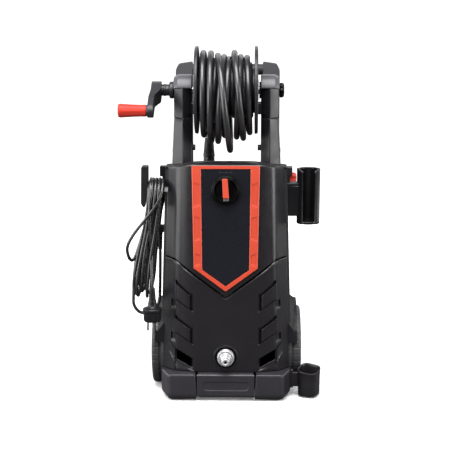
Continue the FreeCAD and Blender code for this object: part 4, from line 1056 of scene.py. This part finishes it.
def face_ring(far, low, high):
    """A rectangle in the knob's own axes, from low to high, each an (x, z)."""
    return [Vector((low[0], far, low[1])), Vector((high[0], far, low[1])),
            Vector((high[0], far, high[1])), Vector((low[0], far, high[1]))]


def switch_knob():
    """A round knob with a knurled edge, a dished face and a raised grip across it."""
    profile = [(-2.7, 27.0), (-2.7, 29.5), (-8.4, 29.5), (-10.6, 28.4), (-11.2, 26.4),
               (-11.4, 25.4), (-13.6, 24.4), (-13.7, 22.6), (-9.8, 20.4), (-9.3, 18.5), (-9.3, 0.1)]
    smooth = softened(profile, 0.7)

    def knurl(far, out, turn):
        notch = max(0.0, math.cos(turn * 36)) ** 6
        return far, out - (0.5 * notch if -8.6 < far < -3.0 and out > 28.8 else 0)

    disc = lofted("knob_disc", leaned(turned_rings(smooth, (0, 0, 0), "Y", 288, knurl)), "switch",
                  KNOB_BLACK, ("switch_knob",))
    levels = ((-8.5, 10.5, 26.5), (-11.5, 9.2, 26.2), (-17, 8.0, 25.8), (-20.4, 7.4, 25.4),
              (-21.5, 6.6, 24.6))
    rings = [rounded(face_ring(far, (-half, -tall), (half, tall)), 5.5, 6)
             for far, half, tall in levels]
    grip = lofted("knob_grip", leaned(rings), "switch", KNOB_BLACK, angle=40)
    joined("knob_disc", [disc, grip])
    tilt = Matrix.Rotation(math.radians(-3.6), 4, "Y")
    rings = []
    for far, grow in ((-20.2, 0.0), (-22.3, 0.0), (-22.9, -0.6)):
        low, high, wide, narrow = -14.2 - grow, 24.6 + grow, 6.1 + grow, 5.2 + grow
        corners = [(-wide, far, low), (wide, far, low), (narrow, far, high), (-narrow, far, high)]
        rings.append([tilt @ point for point in rounded(corners, 1.4, 4)])
    lofted("pointer_insert", leaned(rings), "switch", ORANGE, ("knob_pointer",))
    rings = []
    for far, half in ((-20.2, 4.4), (-22.2, 4.4), (-22.5, 4.0)):
        corners = face_ring(far, (-half, -19.6), (half, -15.2))
        rings.append([tilt @ point for point in rounded(corners, 0.8, 3)])
    lofted("pointer_end", leaned(rings), "switch", STEEL)


def dial_marks():
    """A short row of plain signs over the knob: a ring for off, a bar for on, and dots."""
    pieces = []
    face = -2.5
    ring = turned_rings([(face, 1.7), (face - 0.2, 1.7), (face - 0.2, 1.2), (face, 1.2)],
                        (-11.5, 0, 36), "Y", 24)
    pieces.append(lofted("dial_marks", leaned(ring + ring[:1]), "washer", MARKING,
                         caps=False))
    marks = ((-7.2, 0.5, 0.5), (-4.2, 0.5, 0.5), (0, 0.6, 1.7), (4.2, 0.5, 0.5), (7.2, 0.5, 0.5),
             (11.5, 1.4, 0.5))
    for index, (x, half, tall) in enumerate(marks):
        rings = [face_ring(far, (x - half, 36 - tall), (x + half, 36 + tall))
                 for far in (face, face - 0.2)]
        pieces.append(lofted(f"mark_{index}", leaned(rings), "washer", MARKING))
    joined("dial_marks", pieces)


# ---------------------------------------------------------------- columns and brackets

def columns():
    """The two columns that carry the reel, each with a round cap on its outer side."""
    levels = ((430, 1.5), (432, 0), (470, 0), (520, 0), (560, 0), (570.5, 0), (572.4, 0.7), (573, 2))
    for side, word in SIDES:
        rings = []
        for height, inset in levels:
            outer = 113 - 7 * (height - 430) / 143
            ridge = -65 + inset
            corners = [(70 + inset, -47 + inset), (87, ridge), (outer - inset, -52 + inset),
                       (outer - inset, -14 - inset), (70 + inset, -14 - inset)]
            rings.append(rounded([(side * x, y, height) for x, y in corners],
                                 [2.5, 2.2, 4, 4, 2.5], 5))
        column = lofted(f"column_shell_{word}", rings, "washer", CASING_SATIN,
                        (f"column_{word}",), angle=50)
        cap = turned(f"column_cap_{word}", [(0, 0.1), (0, 7.5), (2.2, 7.5), (3.6, 5.8), (3.8, 0.1)],
                     (side * 106.5, -36, 505), "washer", CASING_SATIN, segments=32,
                     shape=(None if side > 0 else lambda far, out, turn: (-far, out)))
        joined(f"column_shell_{word}", [column, cap])


HEAD_RADIUS = 31.0


def over_axle(x, radius, degrees):
    """A point at a radius about the axle, turned up from straight in front of it."""
    turn = math.radians(degrees)
    return Vector((x, AXLE.y - radius * math.cos(turn), AXLE.z + radius * math.sin(turn)))


def brackets():
    """The heads of the columns: a faceted section carried up the front and over the axle."""
    section = softened([(70, 22), (70, 16), (87, 0), (106, 10.5), (106, 15)], 2.2, 4)
    low = low_high("reel_bracket_left")[0].z
    path = [("front", height) for height in (low, low + 0.8, 585, 600, 615, 626)]
    path += [("arc", degrees) for degrees in (3, 6, 9, 12)]
    path += [("arc", degrees) for degrees in range(18, 180, 9)]
    path += [("back", height) for height in (626, 600, low + 0.8, low)]
    for side, word in SIDES:
        rows = []
        for kind, place_at in path:
            row = []
            end = 1.0 if kind != "arc" and place_at == low else 0.0
            for x, inset in section:
                radius = HEAD_RADIUS - inset - end
                if kind == "arc":
                    row.append(over_axle(side * x, radius, place_at))
                else:
                    sign = -1 if kind == "front" else 1
                    row.append(Vector((side * x, AXLE.y + sign * radius, place_at)))
            rows.append(row)
        count = len(section)
        last = (len(rows) - 1) * count
        sides = [tuple(row * count for row in range(len(rows))),
                 tuple(row * count + count - 1 for row in reversed(range(len(rows)))),
                 (*range(count), *range(last + count - 1, last - 1, -1))]
        mesh = row_mesh(f"bracket_head_{word}", rows, sides)
        piece = finish_piece(f"bracket_head_{word}", mesh, "washer", CASING_SATIN,
                             (f"reel_bracket_{word}",), angle=40)
        block = side_plate(f"bracket_lug_{word}", side * 70.5, side * -6.4, (-46, -14), (579, 603),
                           CASING_SATIN, 3, 0.8)
        boss = turned(f"bracket_boss_{word}", [(0, 13.2), (0, 17.5), (3.6, 16.5), (3.6, 13.2)],
                      (side * 66.4, AXLE.y, AXLE.z), "washer", CASING_SATIN, segments=48,
                      closed=True)
        joined(f"bracket_head_{word}", [piece, block, boss])
        bracket_cap(side, word)


def bracket_cap(side, word):
    """The smooth saddle over a bracket's head, which stands a little proud of it."""
    section = [(69.6, 18), (69.6, -0.9), (98, -0.9), (105.4, 3.0), (107.2, 9), (107.2, 15)]
    section = softened(section, 1.6, 4)
    stops = (10.2, 11, 12, 14, *range(20, 164, 6), 166, 168, 169, 169.8)
    rows = []
    for index, degrees in enumerate(stops):
        ends = min(index, len(stops) - 1 - index)
        shrink = (1.2, 0.35, 0.0)[min(ends, 2)]
        rows.append([over_axle(side * x, HEAD_RADIUS - inset - shrink, degrees)
                     for x, inset in section])
    count = len(section)
    last = (len(rows) - 1) * count
    ends = [tuple(range(count)), tuple(range(last + count - 1, last - 1, -1))]
    mesh = row_mesh(f"bracket_cap_{word}", rows, ends)
    # The cap's light grey is a painted highlight, not a lighter plastic.
    finish_piece(f"bracket_cap_{word}", mesh, "washer", CAP_PAINTED_HIGHLIGHT, angle=40)


# ---------------------------------------------------------------- handle

def handle():
    """Two ribbed posts and the ribbed grip between them."""
    low, high = low_high("handle_post_left")
    back, front = high.y, low.y
    for side, word in SIDES:
        outline = [(side * 75, front, low.z), (side * 111, front, low.z),
                   (side * 111, front, high.z - 17), (side * 104.5, front, high.z - 4.2),
                   (side * 75, front, high.z)]
        outline = rounded(outline, [1, 1, 4, 4, 4], 4)
        post = slab(f"post_{word}", outline, (0, back - front, 0), "handle", HANDLE_PLASTIC,
                    (f"handle_post_{word}",), edge=3.0, segments=4)
        fins = []
        for index in range(3):
            x = side * (84 + 9 * index)
            rib = [(x - 1.2, front - 0.1, 500), (x + 1.2, front - 0.1, 500),
                   (x + 1.2, front - 0.1, 640), (x - 1.2, front - 0.1, 640)]
            fins.append(slab(f"post_rib_{word}_{index}", rib, (0, back - front + 0.6, 0), "handle",
                             HANDLE_PLASTIC, edge=0.3, segments=2))
        joined(f"post_{word}", [post, *fins])
    profile = [(-76, 11.4), (-46, 11.8)]
    profile += ribs(19, -45, 4.8, 12.2, 0, ((0, 0), (0.5, 0.7), (3.4, 0.7), (3.9, 0)))
    profile += [(46.2, 11.8), (76, 11.4)]
    bar = centre_of("handle_bar")
    turned("handle_grip", profile, (0, bar.y, bar.z), "handle", RUBBER, ("handle_bar",),
           segments=56, cut=0.3)


def lock_knob():
    """The small red knob that clamps the handle, with five lobes."""
    y, z = 106, 428
    turned("lock_stem", [(115, 0.1), (115, 4.5), (136, 4.5), (136, 0.1)], (0, y, z),
           "handle_lock", STEEL, segments=24)

    def lobes(far, out, turn):
        return far, out * (1 + 0.13 * math.cos(5 * turn)) if out > 6 else out

    profile = [(134.8, 0.1), (134.8, 9.5), (137, 11.3), (145, 11.0), (148.6, 9.0), (149.4, 5.6),
               (148.4, 4.0), (148.2, 0.1)]
    turned("lock_head", profile, (0, y, z), "handle_lock", RED_ORANGE,
           ("handle_lock_knob",), segments=80, cut=1.0, shape=lobes)


# ---------------------------------------------------------------- reel

def ring_turned(name, profile, centre, body, material, hides, segments, cut, steps, shape):
    """A turned ring with an unsoftened seam, for forms whose shape changes round the axis."""
    smooth = softened(profile, cut, steps)
    rings = turned_rings(smooth + smooth[:1], centre, "X", segments, shape)
    return lofted(name, rings, body, material, hides, caps=False, angle=40)


def reel_flanges():
    """Thin ribbed flanges with a rolled rim."""
    for side, word in SIDES:
        profile = [(57, 8.2), (57, 45.5), (57, 88.3), (59.2, 88.5), (63.4, 87.6), (63.8, 85.4),
                   (63.2, 83.8), (60.2, 82.8)]
        profile += [(60.2, 82.0 - 4.0 * index) for index in range(13)]
        profile += [(60.8, 29), (64.4, 22), (65, 19), (65, 8.2)]

        def ribbed(far, out, turn):
            if far > 60 and 31 < out < 82.5:
                wave = abs((turn * 12 / (2 * math.pi)) % 1 - 0.5) * 2 * math.pi / 12 * out
                edge = min(smoothstep(out, 31, 34), 1 - smoothstep(out, 80.5, 82.4))
                far += 2.0 * float((1 - smoothstep(wave, 1.1, 1.9)) * edge)
            return side * far, out

        ring_turned(f"flange_disc_{word}", profile, (0, AXLE.y, AXLE.z), "reel", REEL_PLASTIC,
                    (f"reel_flange_{word}",), 288, 0.9, 2, ribbed)


def star_knob():
    """The lobed knob on the right end of the axle."""
    def lobes(far, out, turn):
        return far, out * (1 + 0.075 * math.cos(8 * turn)) if out > 9 else out

    profile = [(106.8, 0.1), (106.8, 10), (108, 13.4), (110, 14.1), (114.5, 13.6), (116.4, 11.4),
               (117, 8.5), (116.0, 6.5), (115.8, 0.1)]
    turned("star_knob", profile, (0, AXLE.y, AXLE.z), "reel", KNOB_BLACK, ("axle_knob",),
           segments=128, cut=0.9, shape=lobes)


def crank():
    """The crank: a boss on the axle, and an arm that steps outward on its way to the pin."""
    pin = Vector((-149, -100, 591))
    hub = Vector((-149, AXLE.y, AXLE.z))
    along = (pin - hub).normalized()
    across = Vector((0, -along.z, along.y))
    reach = (pin - hub).length
    stations = ((-17.0, -151.2, -132.6, 9.5), (-16.6, -151.8, -132.2, 10.6),
                (-10, -152.0, -132, 14.8), (0, -152.0, -132, 16.8), (20, -152.0, -132, 16.2),
                (24, -152.2, -132.6, 16.0), (30, -153.0, -136.0, 15.4), (42, -154.6, -142.2, 14.6),
                (47, -155.0, -143, 14.4), (reach, -155.0, -143, 14.0),
                (reach + 7, -155.0, -143, 12.2), (reach + 12, -155.0, -143, 8.0),
                (reach + 13.6, -154.6, -143.4, 5.0))
    rings = []
    for far, low, high, half in stations:
        middle = Vector((0, hub.y, hub.z)) + along * far
        corners = [middle + across * half + Vector((low, 0, 0)),
                   middle + across * half + Vector((high, 0, 0)),
                   middle - across * half + Vector((high, 0, 0)),
                   middle - across * half + Vector((low, 0, 0))]
        rings.append(rounded(corners, 1.7, 4))
    arm = lofted("crank_lever", rings, "reel", REEL_PLASTIC, ("crank_arm",),
                 angle=50)
    profile = [(-133, 0.1), (-133, 11.6), (-127, 11.6), (-126.2, 12.6), (-124, 12.6), (-123.2, 11.6),
               (-116.6, 11.6), (-116, 13.2), (-115.4, 16.2), (-113.6, 17.2), (-108.4, 17.2),
               (-107.2, 16.4), (-106.8, 14.0), (-106.8, 0.1)]
    boss = turned("crank_boss", profile, (0, AXLE.y, AXLE.z), "reel", REEL_PLASTIC,
                  segments=64, cut=0.5)
    ring = turned("crank_ring", [(-157.2, 0.1), (-157.2, 11.2), (-154.6, 11.8), (-154.6, 0.1)],
                  (0, pin.y, pin.z), "reel", REEL_PLASTIC, segments=48, cut=0.5)
    joined("crank_lever", [arm, boss, ring])
    screw = [(-153.2, 0.1), (-153.2, 4.6), (-151.5, 5.2), (-151.5, 0.1)]
    turned("crank_screw", screw, (0, AXLE.y, AXLE.z), "reel", STEEL, segments=32, cut=0.4)

    def flats(far, out, turn):
        depth = 0.42 * float(smoothstep(-far, 160, 168) * (1 - smoothstep(-far, 203, 209)))
        return far, out - depth * (0.5 + 0.5 * math.cos(9 * turn)) if out > 9.5 else out

    profile = [(-157.0, 5.3), (-157.0, 11.2), (-158.6, 11.8), (-172, 11.9), (-188, 12.6),
               (-200, 13.3), (-208.5, 13.9), (-212.4, 12.9), (-213.3, 10.6), (-213.4, 8.2),
               (-208, 8.0), (-208, 5.3)]
    grip = centre_of("crank_grip")
    ring_turned("grip_sleeve", profile, (0, grip.y, grip.z), "grip", RED_ORANGE,
                ("crank_grip",), 96, 1.6, 4, flats)


# ---------------------------------------------------------------- side fittings

def arc(middle, radius, first, sweep, shares, height):
    """Points on a level arc that begins at the angle first and turns through sweep."""
    turns = [first + sweep * share for share in shares]
    return [Vector((middle[0] + radius * math.cos(turn), middle[1] + radius * math.sin(turn),
                    height)) for turn in turns]


def gun_holder():
    """A C-shaped holder open to the front, with rolled lips, on a bracket of the casing."""
    x, y = 167, -55
    outer, inner, slot = 23.6, 20.2, 15.0
    start = math.asin(slot / outer)
    levels = ((358.2, -1.2), (358.8, -0.2), (360.5, 0.25), (363, 0), (466, 0), (468.4, 0.5),
              (470, 0.5), (470.8, -0.3), (471, -1.2))
    sweep = 2 * math.pi - 2 * start
    middle = (outer + inner) / 2
    round_it = [step / 56 for step in range(57)]
    round_lip = [step / 7 for step in range(1, 7)]
    right_end, left_end = -math.pi / 2 + start, -math.pi / 2 - start
    rings = []
    for height, grow in levels:
        bead = (outer - inner) / 2 + grow + 0.6
        left = (x + middle * math.cos(left_end), y + middle * math.sin(left_end))
        right = (x + middle * math.cos(right_end), y + middle * math.sin(right_end))
        ring = arc((x, y), outer + grow, right_end, sweep, round_it, height)
        ring += arc(left, bead, left_end, math.pi, round_lip, height)
        ring += arc((x, y), inner - grow, left_end, -sweep, round_it, height)
        ring += arc(right, bead, right_end - math.pi, math.pi, round_lip, height)
        for point in ring:
            lip = float(smoothstep(y - point.y, 8.0, 19.5))
            point.z -= 4.5 * lip * float(smoothstep(point.z, 440, 471))
        rings.append(ring)
    tube = lofted("holder_tube", rings, "washer", HOLDER_BLACK, ("gun_holder",), angle=45)
    profile = [(358.2, 0.1), (358.2, 20), (358.8, 22.6), (360.2, 23.5), (363.4, 23.5),
               (364.2, 22.4), (363.6, 20.2), (362.6, 0.1)]
    base = turned("holder_base", profile, (x, y, 0), "washer", HOLDER_BLACK, axis="Z",
                  segments=72, cut=0.5)
    side_at = 118.5
    arm = side_plate("holder_arm", side_at, 27.5, (-66, -44), (374, 437), HOLDER_BLACK, 3, 1.6)
    shelf = slab("holder_shelf", rounded([(side_at, -70, 437.4), (148, -66, 437.4),
                                          (148, -42, 437.4), (side_at, -40, 437.4)], 3),
                 (0, 0, 5), "washer", CASING_SATIN, edge=1.2)
    ear = side_plate("holder_ear", side_at, 15.5, (-64, -46), (455, 475), CASING_SATIN, 3, 1.6)
    link = side_plate("holder_link", side_at, 11, (-62, -48), (441, 457), CASING_SATIN, 2, 1)
    joined("holder_tube", [tube, arm, base])
    joined("holder_shelf", [shelf, ear, link])


def lance_cup():
    """A rounded square cup with a rolled rim, and the arm that carries it."""
    low, high = 3, 60.5
    turn = Matrix.Translation((171.5, -87, 0)) @ Matrix.Rotation(math.radians(-25), 4, "Z")
    levels = ((low + 0.6, 31), (low + 0.1, 35), (low, 37), (low + 1.2, 39.4), (low + 4, 40.2),
              (30, 41.2), (high - 5, 41.6), (high - 4, 42.4), (high - 1, 42.6), (high, 42.0),
              (high + 0.1, 41.2), (high - 1, 39.8), (high - 5, 38.8), (30, 38), (low + 6, 36.6),
              (low + 4.2, 34), (low + 4, 30))
    rings = []
    for height, wide in levels:
        half = wide / 2
        corners = [(-half, -half, height), (half, -half, height), (half, half, height),
                   (-half, half, height)]
        ring = [turn @ point for point in rounded(corners, 0.37 * wide, 10)]
        if height > high - 6:
            ring = [point + Vector((0, 0, 0.2 * (point.y + 87) - 2)) for point in ring]
        rings.append(ring)
    cup = lofted("cup_shell", rings, "washer", CASING_SATIN, ("lance_cup",), angle=50)
    arm = side_plate("cup_arm", 133.5, 24, (-88, -77.5), (20, 50), CASING_SATIN, 2, 1.2)
    ear = side_plate("cup_ear", 133.8, 5, (-88.3, -76), (17, 56), CASING_SATIN, 2, 1.2)
    joined("cup_shell", [cup, arm, ear])


def cable_hook():
    """The turning end plate of the cable hook."""
    outline = rounded([(-158.4, -77, 476), (-171.5, -77, 476), (-173, -77, 399), (-166, -77, 391),
                       (-158.8, -77, 420)], [3, 3, 5, 3, 5], 5)
    slab("hook_plate", outline, (0, 30, 0), "hook", CASING_SATIN, ("cable_hook",),
         edge=2.4, segments=4)


def gland():
    """The lead's outlet: a moulded block and a ribbed, tapered bend protector."""
    x, y = -137.3, -40
    profile = [(300, 3.3), (300, 4.5)]
    profile += ribs(7, 302.5, 4.4, 4.6, 0.16, ((0, 0), (0.4, -0.9), (1.5, -0.9), (1.9, 0.05)))
    profile += [(334, 5.7), (337, 5.9), (337, 3.3)]
    relief = turned("lead_gland", profile, (x, y, 0), "washer", PLUG_PLASTIC,
                    ("cable_gland",), axis="Z", segments=40, cut=0.3, closed=True)
    side_at = -case_half(343) + 1
    depth = low_high("cable_gland")[0].x - side_at
    block = side_plate("gland_block", side_at, depth, (-48, -32), (336, 351), PLUG_PLASTIC, 3, 1.6)
    return joined("lead_gland", [relief, block])


def plug():
    """A round mains plug, its pins down, with a ribbed bend protector where the lead goes in."""
    x, y = -149, -109.6
    profile = [(164, 0.1), (164, 15.6), (165, 17.2), (168, 18.0), (184, 18.6), (185.4, 18.8),
               (186, 19.8), (190.0, 19.8), (191.6, 18.0), (193.6, 12.6), (196, 10.4), (200, 8.8),
               (206, 8.2), (208, 7.4)]
    profile += ribs(6, 209.4, 4, 7.3, -0.26, ((0, 0), (0.3, -1.1), (1.4, -1.1), (1.7, 0)))
    profile += [(234, 5.0), (234, 0.1)]

    def flutes(far, out, turn):
        if 166 < far < 184.5 and out > 15:
            out -= 0.7 * max(0.0, math.cos(24 * turn)) ** 2
        return far, out

    body = turned("plug_shell", profile, (x, y, 0), "washer", PLUG_PLASTIC, ("plug_body",),
                  axis="Z", segments=192, cut=0.3, shape=flutes)
    pins = []
    for index, pin_x in enumerate((-158.5, -139.5)):
        shape = [(164.3, 0.1), (164.3, 2.4), (145.6, 2.4), (144.5, 1.8), (144, 0.8), (144, 0.05)]
        pins.append(turned(f"pin_{index}", shape, (pin_x, y, 0), "washer", STEEL,
                           ("plug_pins",), axis="Z", segments=24, cut=0.3))
    return body, joined("plug_contacts", pins)


def hose_fittings():
    """The tapered sleeve over the hose end, and the coupling that it screws into."""
    x, y = -38.7, 51
    profile = [(482, 6.2), (482, 12.0), (483.2, 12.4), (486, 12.2)]
    profile += ribs(4, 488, 3.0, 12.0, -0.32, ((0, 0), (0.4, -0.6), (1.2, -0.6), (1.6, -0.1)))
    profile += [(519.5, 8.8), (521, 8.2), (521, 6.2)]
    sleeve = turned("hose_sleeve", profile, (x, y, 0), "washer", RUBBER,
                    ("hose_end_sleeve",), axis="Z", segments=56, cut=0.3, closed=True)

    def hexagon(far, out, turn):
        if out > 10:
            corner = (turn + math.pi / 6) % (math.pi / 3) - math.pi / 6
            out = min(out, 11.6 / math.cos(corner))
        return far, out

    profile = [(451, 0.1), (451, 8), (459.5, 8), (459.5, 12), (460.2, 12.6), (480.6, 12.6),
               (481.8, 11.8), (481.8, 0.1)]
    nut = turned("roof_coupling", profile, (x, y, 0), "washer", DARK_NUT, ("hose_coupling",),
                 axis="Z", segments=72, cut=0.4, shape=hexagon)
    return sleeve, nut


# ---------------------------------------------------------------- water connections

def outlet():
    """The chrome outlet: a ring nut, a stepped collar and the plug-in nipple with its bead."""
    z = OUTLET.z
    ring = [(-108.5, 8.3), (-108.5, 16.6), (-109.4, 17.5), (-113.2, 17.5), (-114, 16.6),
            (-115, 16.6), (-115.8, 17.5), (-119.6, 17.5), (-121.3, 16.0), (-121.5, 14.6),
            (-119.8, 13.8), (-119.8, 12.6), (-122.6, 12.2), (-123.2, 11.2), (-123.2, 8.3)]

    def knurl(far, out, turn):
        return far, out - (0.22 * (0.5 + 0.5 * math.cos(30 * turn)) if out > 17.2 else 0)

    turned("outlet_ring", ring, (0, 0, z), "washer", CHROME, ("outlet_nut",), axis="Y",
           segments=240, cut=0.35, shape=knurl, closed=True)
    nipple = [(-55, 0.1), (-55, 10.8), (-108, 10.8), (-123.4, 10.6), (-125, 9.6), (-125.4, 8.1),
              (-128, 8.0), (-128.6, 9.2), (-130.5, 9.6), (-132.4, 9.2), (-133, 8.0), (-137.6, 8.0),
              (-138, 7.1), (-140.6, 7.1), (-141, 8.0), (-148.6, 8.0), (-150, 6.8), (-150, 4.0),
              (-149, 3.2), (-120, 3.2), (-120, 0.1)]
    turned("outlet_nipple", nipple, (0, 0, z), "washer", CHROME, ("outlet_connector",),
           axis="Y", segments=72, cut=0.35)


def inlet():
    """The threaded water inlet at the back, with its collar."""
    profile = [(85, 7.0), (85, 11), (126.2, 11), (126.2, 17.4), (127, 18), (129.2, 18), (130, 17.2),
               (130, 12.0)]
    profile += ribs(8, 131.2, 2.2, 12.0, 0, ((0, 0), (0.7, 1.2), (1.1, 1.2), (1.8, 0)))
    profile += [(149.4, 12.0), (150, 11.4), (150, 7.0)]
    turned("inlet_pipe", profile, (0, 0, OUTLET.z), "washer", BRASS, ("inlet_connector",),
           axis="Y", segments=64, cut=0.3, closed=True)


def back_screws():
    """Six crossed screws in the rear cover."""
    back = low_high("rear_cover")[1].y
    pieces = []
    for x in (-70, 70):
        for z in (110, 215, 420):
            def cross(far, out, turn):
                arm = min(abs(math.sin(turn)), abs(math.cos(turn))) * out
                if out < 3.2 and far > back + 1.0 and arm < 0.6:
                    far -= 0.9
                return far, out

            profile = [(back - 0.2, 0.1), (back - 0.2, 4.5), (back + 0.9, 4.5), (back + 1.8, 3.6),
                       (back + 2.0, 3.0), (back + 2.0, 2.0), (back + 2.0, 1.0), (back + 2.0, 0.05)]
            pieces.append(turned(f"screw_{x}_{z}", profile, (x, 0, z), "washer", STEEL,
                                 axis="Y", segments=48, cut=0.2, shape=cross))
    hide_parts("cover_screws")
    joined("back_screws", pieces)


# ---------------------------------------------------------------- wheels

def wheels():
    """Treaded tyres on six-spoked rims, closed by a domed cap."""
    centre = (0, 11, 83)
    for side, word in SIDES:
        def tread(far, out, turn):
            if out > 79:
                pitch = (turn * 36 / (2 * math.pi) + (0.5 if far > 137 else 0.0)) % 1
                side_block = 1.0 if abs(far - 137) > 4.0 else 0.0
                out -= 0.8 * float(1 - smoothstep(abs(pitch - 0.5), 0.05, 0.10)) * side_block
            return side * far, out

        profile = [(119, 66.2), (118.2, 68.5), (118, 74), (118.6, 79), (120.4, 81.6), (123, 82.8),
                   (126, 83), (133, 83), (134, 81.4), (134.6, 80.8), (139.4, 80.8), (140, 81.4),
                   (141, 83), (148, 83), (151, 82.8), (153.6, 81.6), (155.4, 79), (156, 74),
                   (155.8, 68.5), (153, 66.2)]
        ring_turned(f"tyre_{word}", profile, centre, f"wheel_{word}", TYRE,
                    (f"wheel_tyre_{word}",), 360, 0.7, 2, tread)

        def spokes(far, out, turn):
            if far > 137 and 20 < out < 59:
                phase = abs((turn * 6 / (2 * math.pi)) % 1 - 0.5) * 2 * math.pi / 6 * out
                edge = min(smoothstep(out, 20, 23), 1 - smoothstep(out, 54, 58))
                far += 9.0 * float((1 - smoothstep(phase, 5.0, 7.5)) * edge)
            return side * far, out

        profile = [(119, 6.2), (119, 15), (131, 16), (131, 58), (119, 60), (119, 66), (153, 66),
                   (153.6, 64.5), (153, 62), (146, 60.2), (140, 58)]
        profile += [(139.5, 56 - 3.0 * index) for index in range(12)]
        profile += [(143, 20.5), (152.6, 19), (153, 16.5), (153, 14.2), (156.2, 13.4), (157, 11.5),
                    (157, 0.1)]
        turned(f"rim_{word}", profile, centre, f"wheel_{word}", WHEEL_PLASTIC,
               (f"wheel_hub_{word}",), segments=216, cut=0.9, shape=spokes, steps=2, angle=40)


# ---------------------------------------------------------------- kept CAD pieces

WELD_REACH = 0.02
CAD_EDGE = 0.7
COVER_EDGE = 1.4
OWN_FINISH = {"hook_bracket": HOLDER_BLACK, "column_bolts": RUBBER, "rear_cover": REAR_CASING}


def dress_cad_nodes():
    """Give every CAD piece that still shows its finish, and soften its edges."""
    slots = {part["node"]: part["material_slot"] for part in frame["record"]["subparts"]}
    for name, piece in frame["nodes"].items():
        finish = OWN_FINISH.get(name, FINISH_FOR[slots[name]])
        for index in range(max(1, len(piece.material_slots))):
            if index < len(piece.material_slots):
                piece.material_slots[index].material = finish
            else:
                piece.data.materials.append(finish)
        if piece.hide_render:
            continue
        weld = piece.modifiers.new("weld", "WELD")
        weld.merge_threshold = WELD_REACH * MM
        bevelled(piece, COVER_EDGE if name == "rear_cover" else CAD_EDGE, 3, 38)


for make in (add_camera, add_stage, add_lights, upper_cover, lower_cover, outlet_recess, rear_roof,
             rear_louvres, front_feet, tray, control_panel, trim, switch_knob, dial_marks, columns,
             brackets, handle, lock_knob, reel_flanges, star_knob, crank, gun_holder, lance_cup,
             cable_hook, outlet, inlet, back_screws, wheels):
    make()
gland_piece = gland()
plug_shell, plug_contacts = plug()
sleeve, coupling = hose_fittings()
lead = add_lead()
hose = add_hose()
hose_end = add_hose_tail()
dress_cad_nodes()
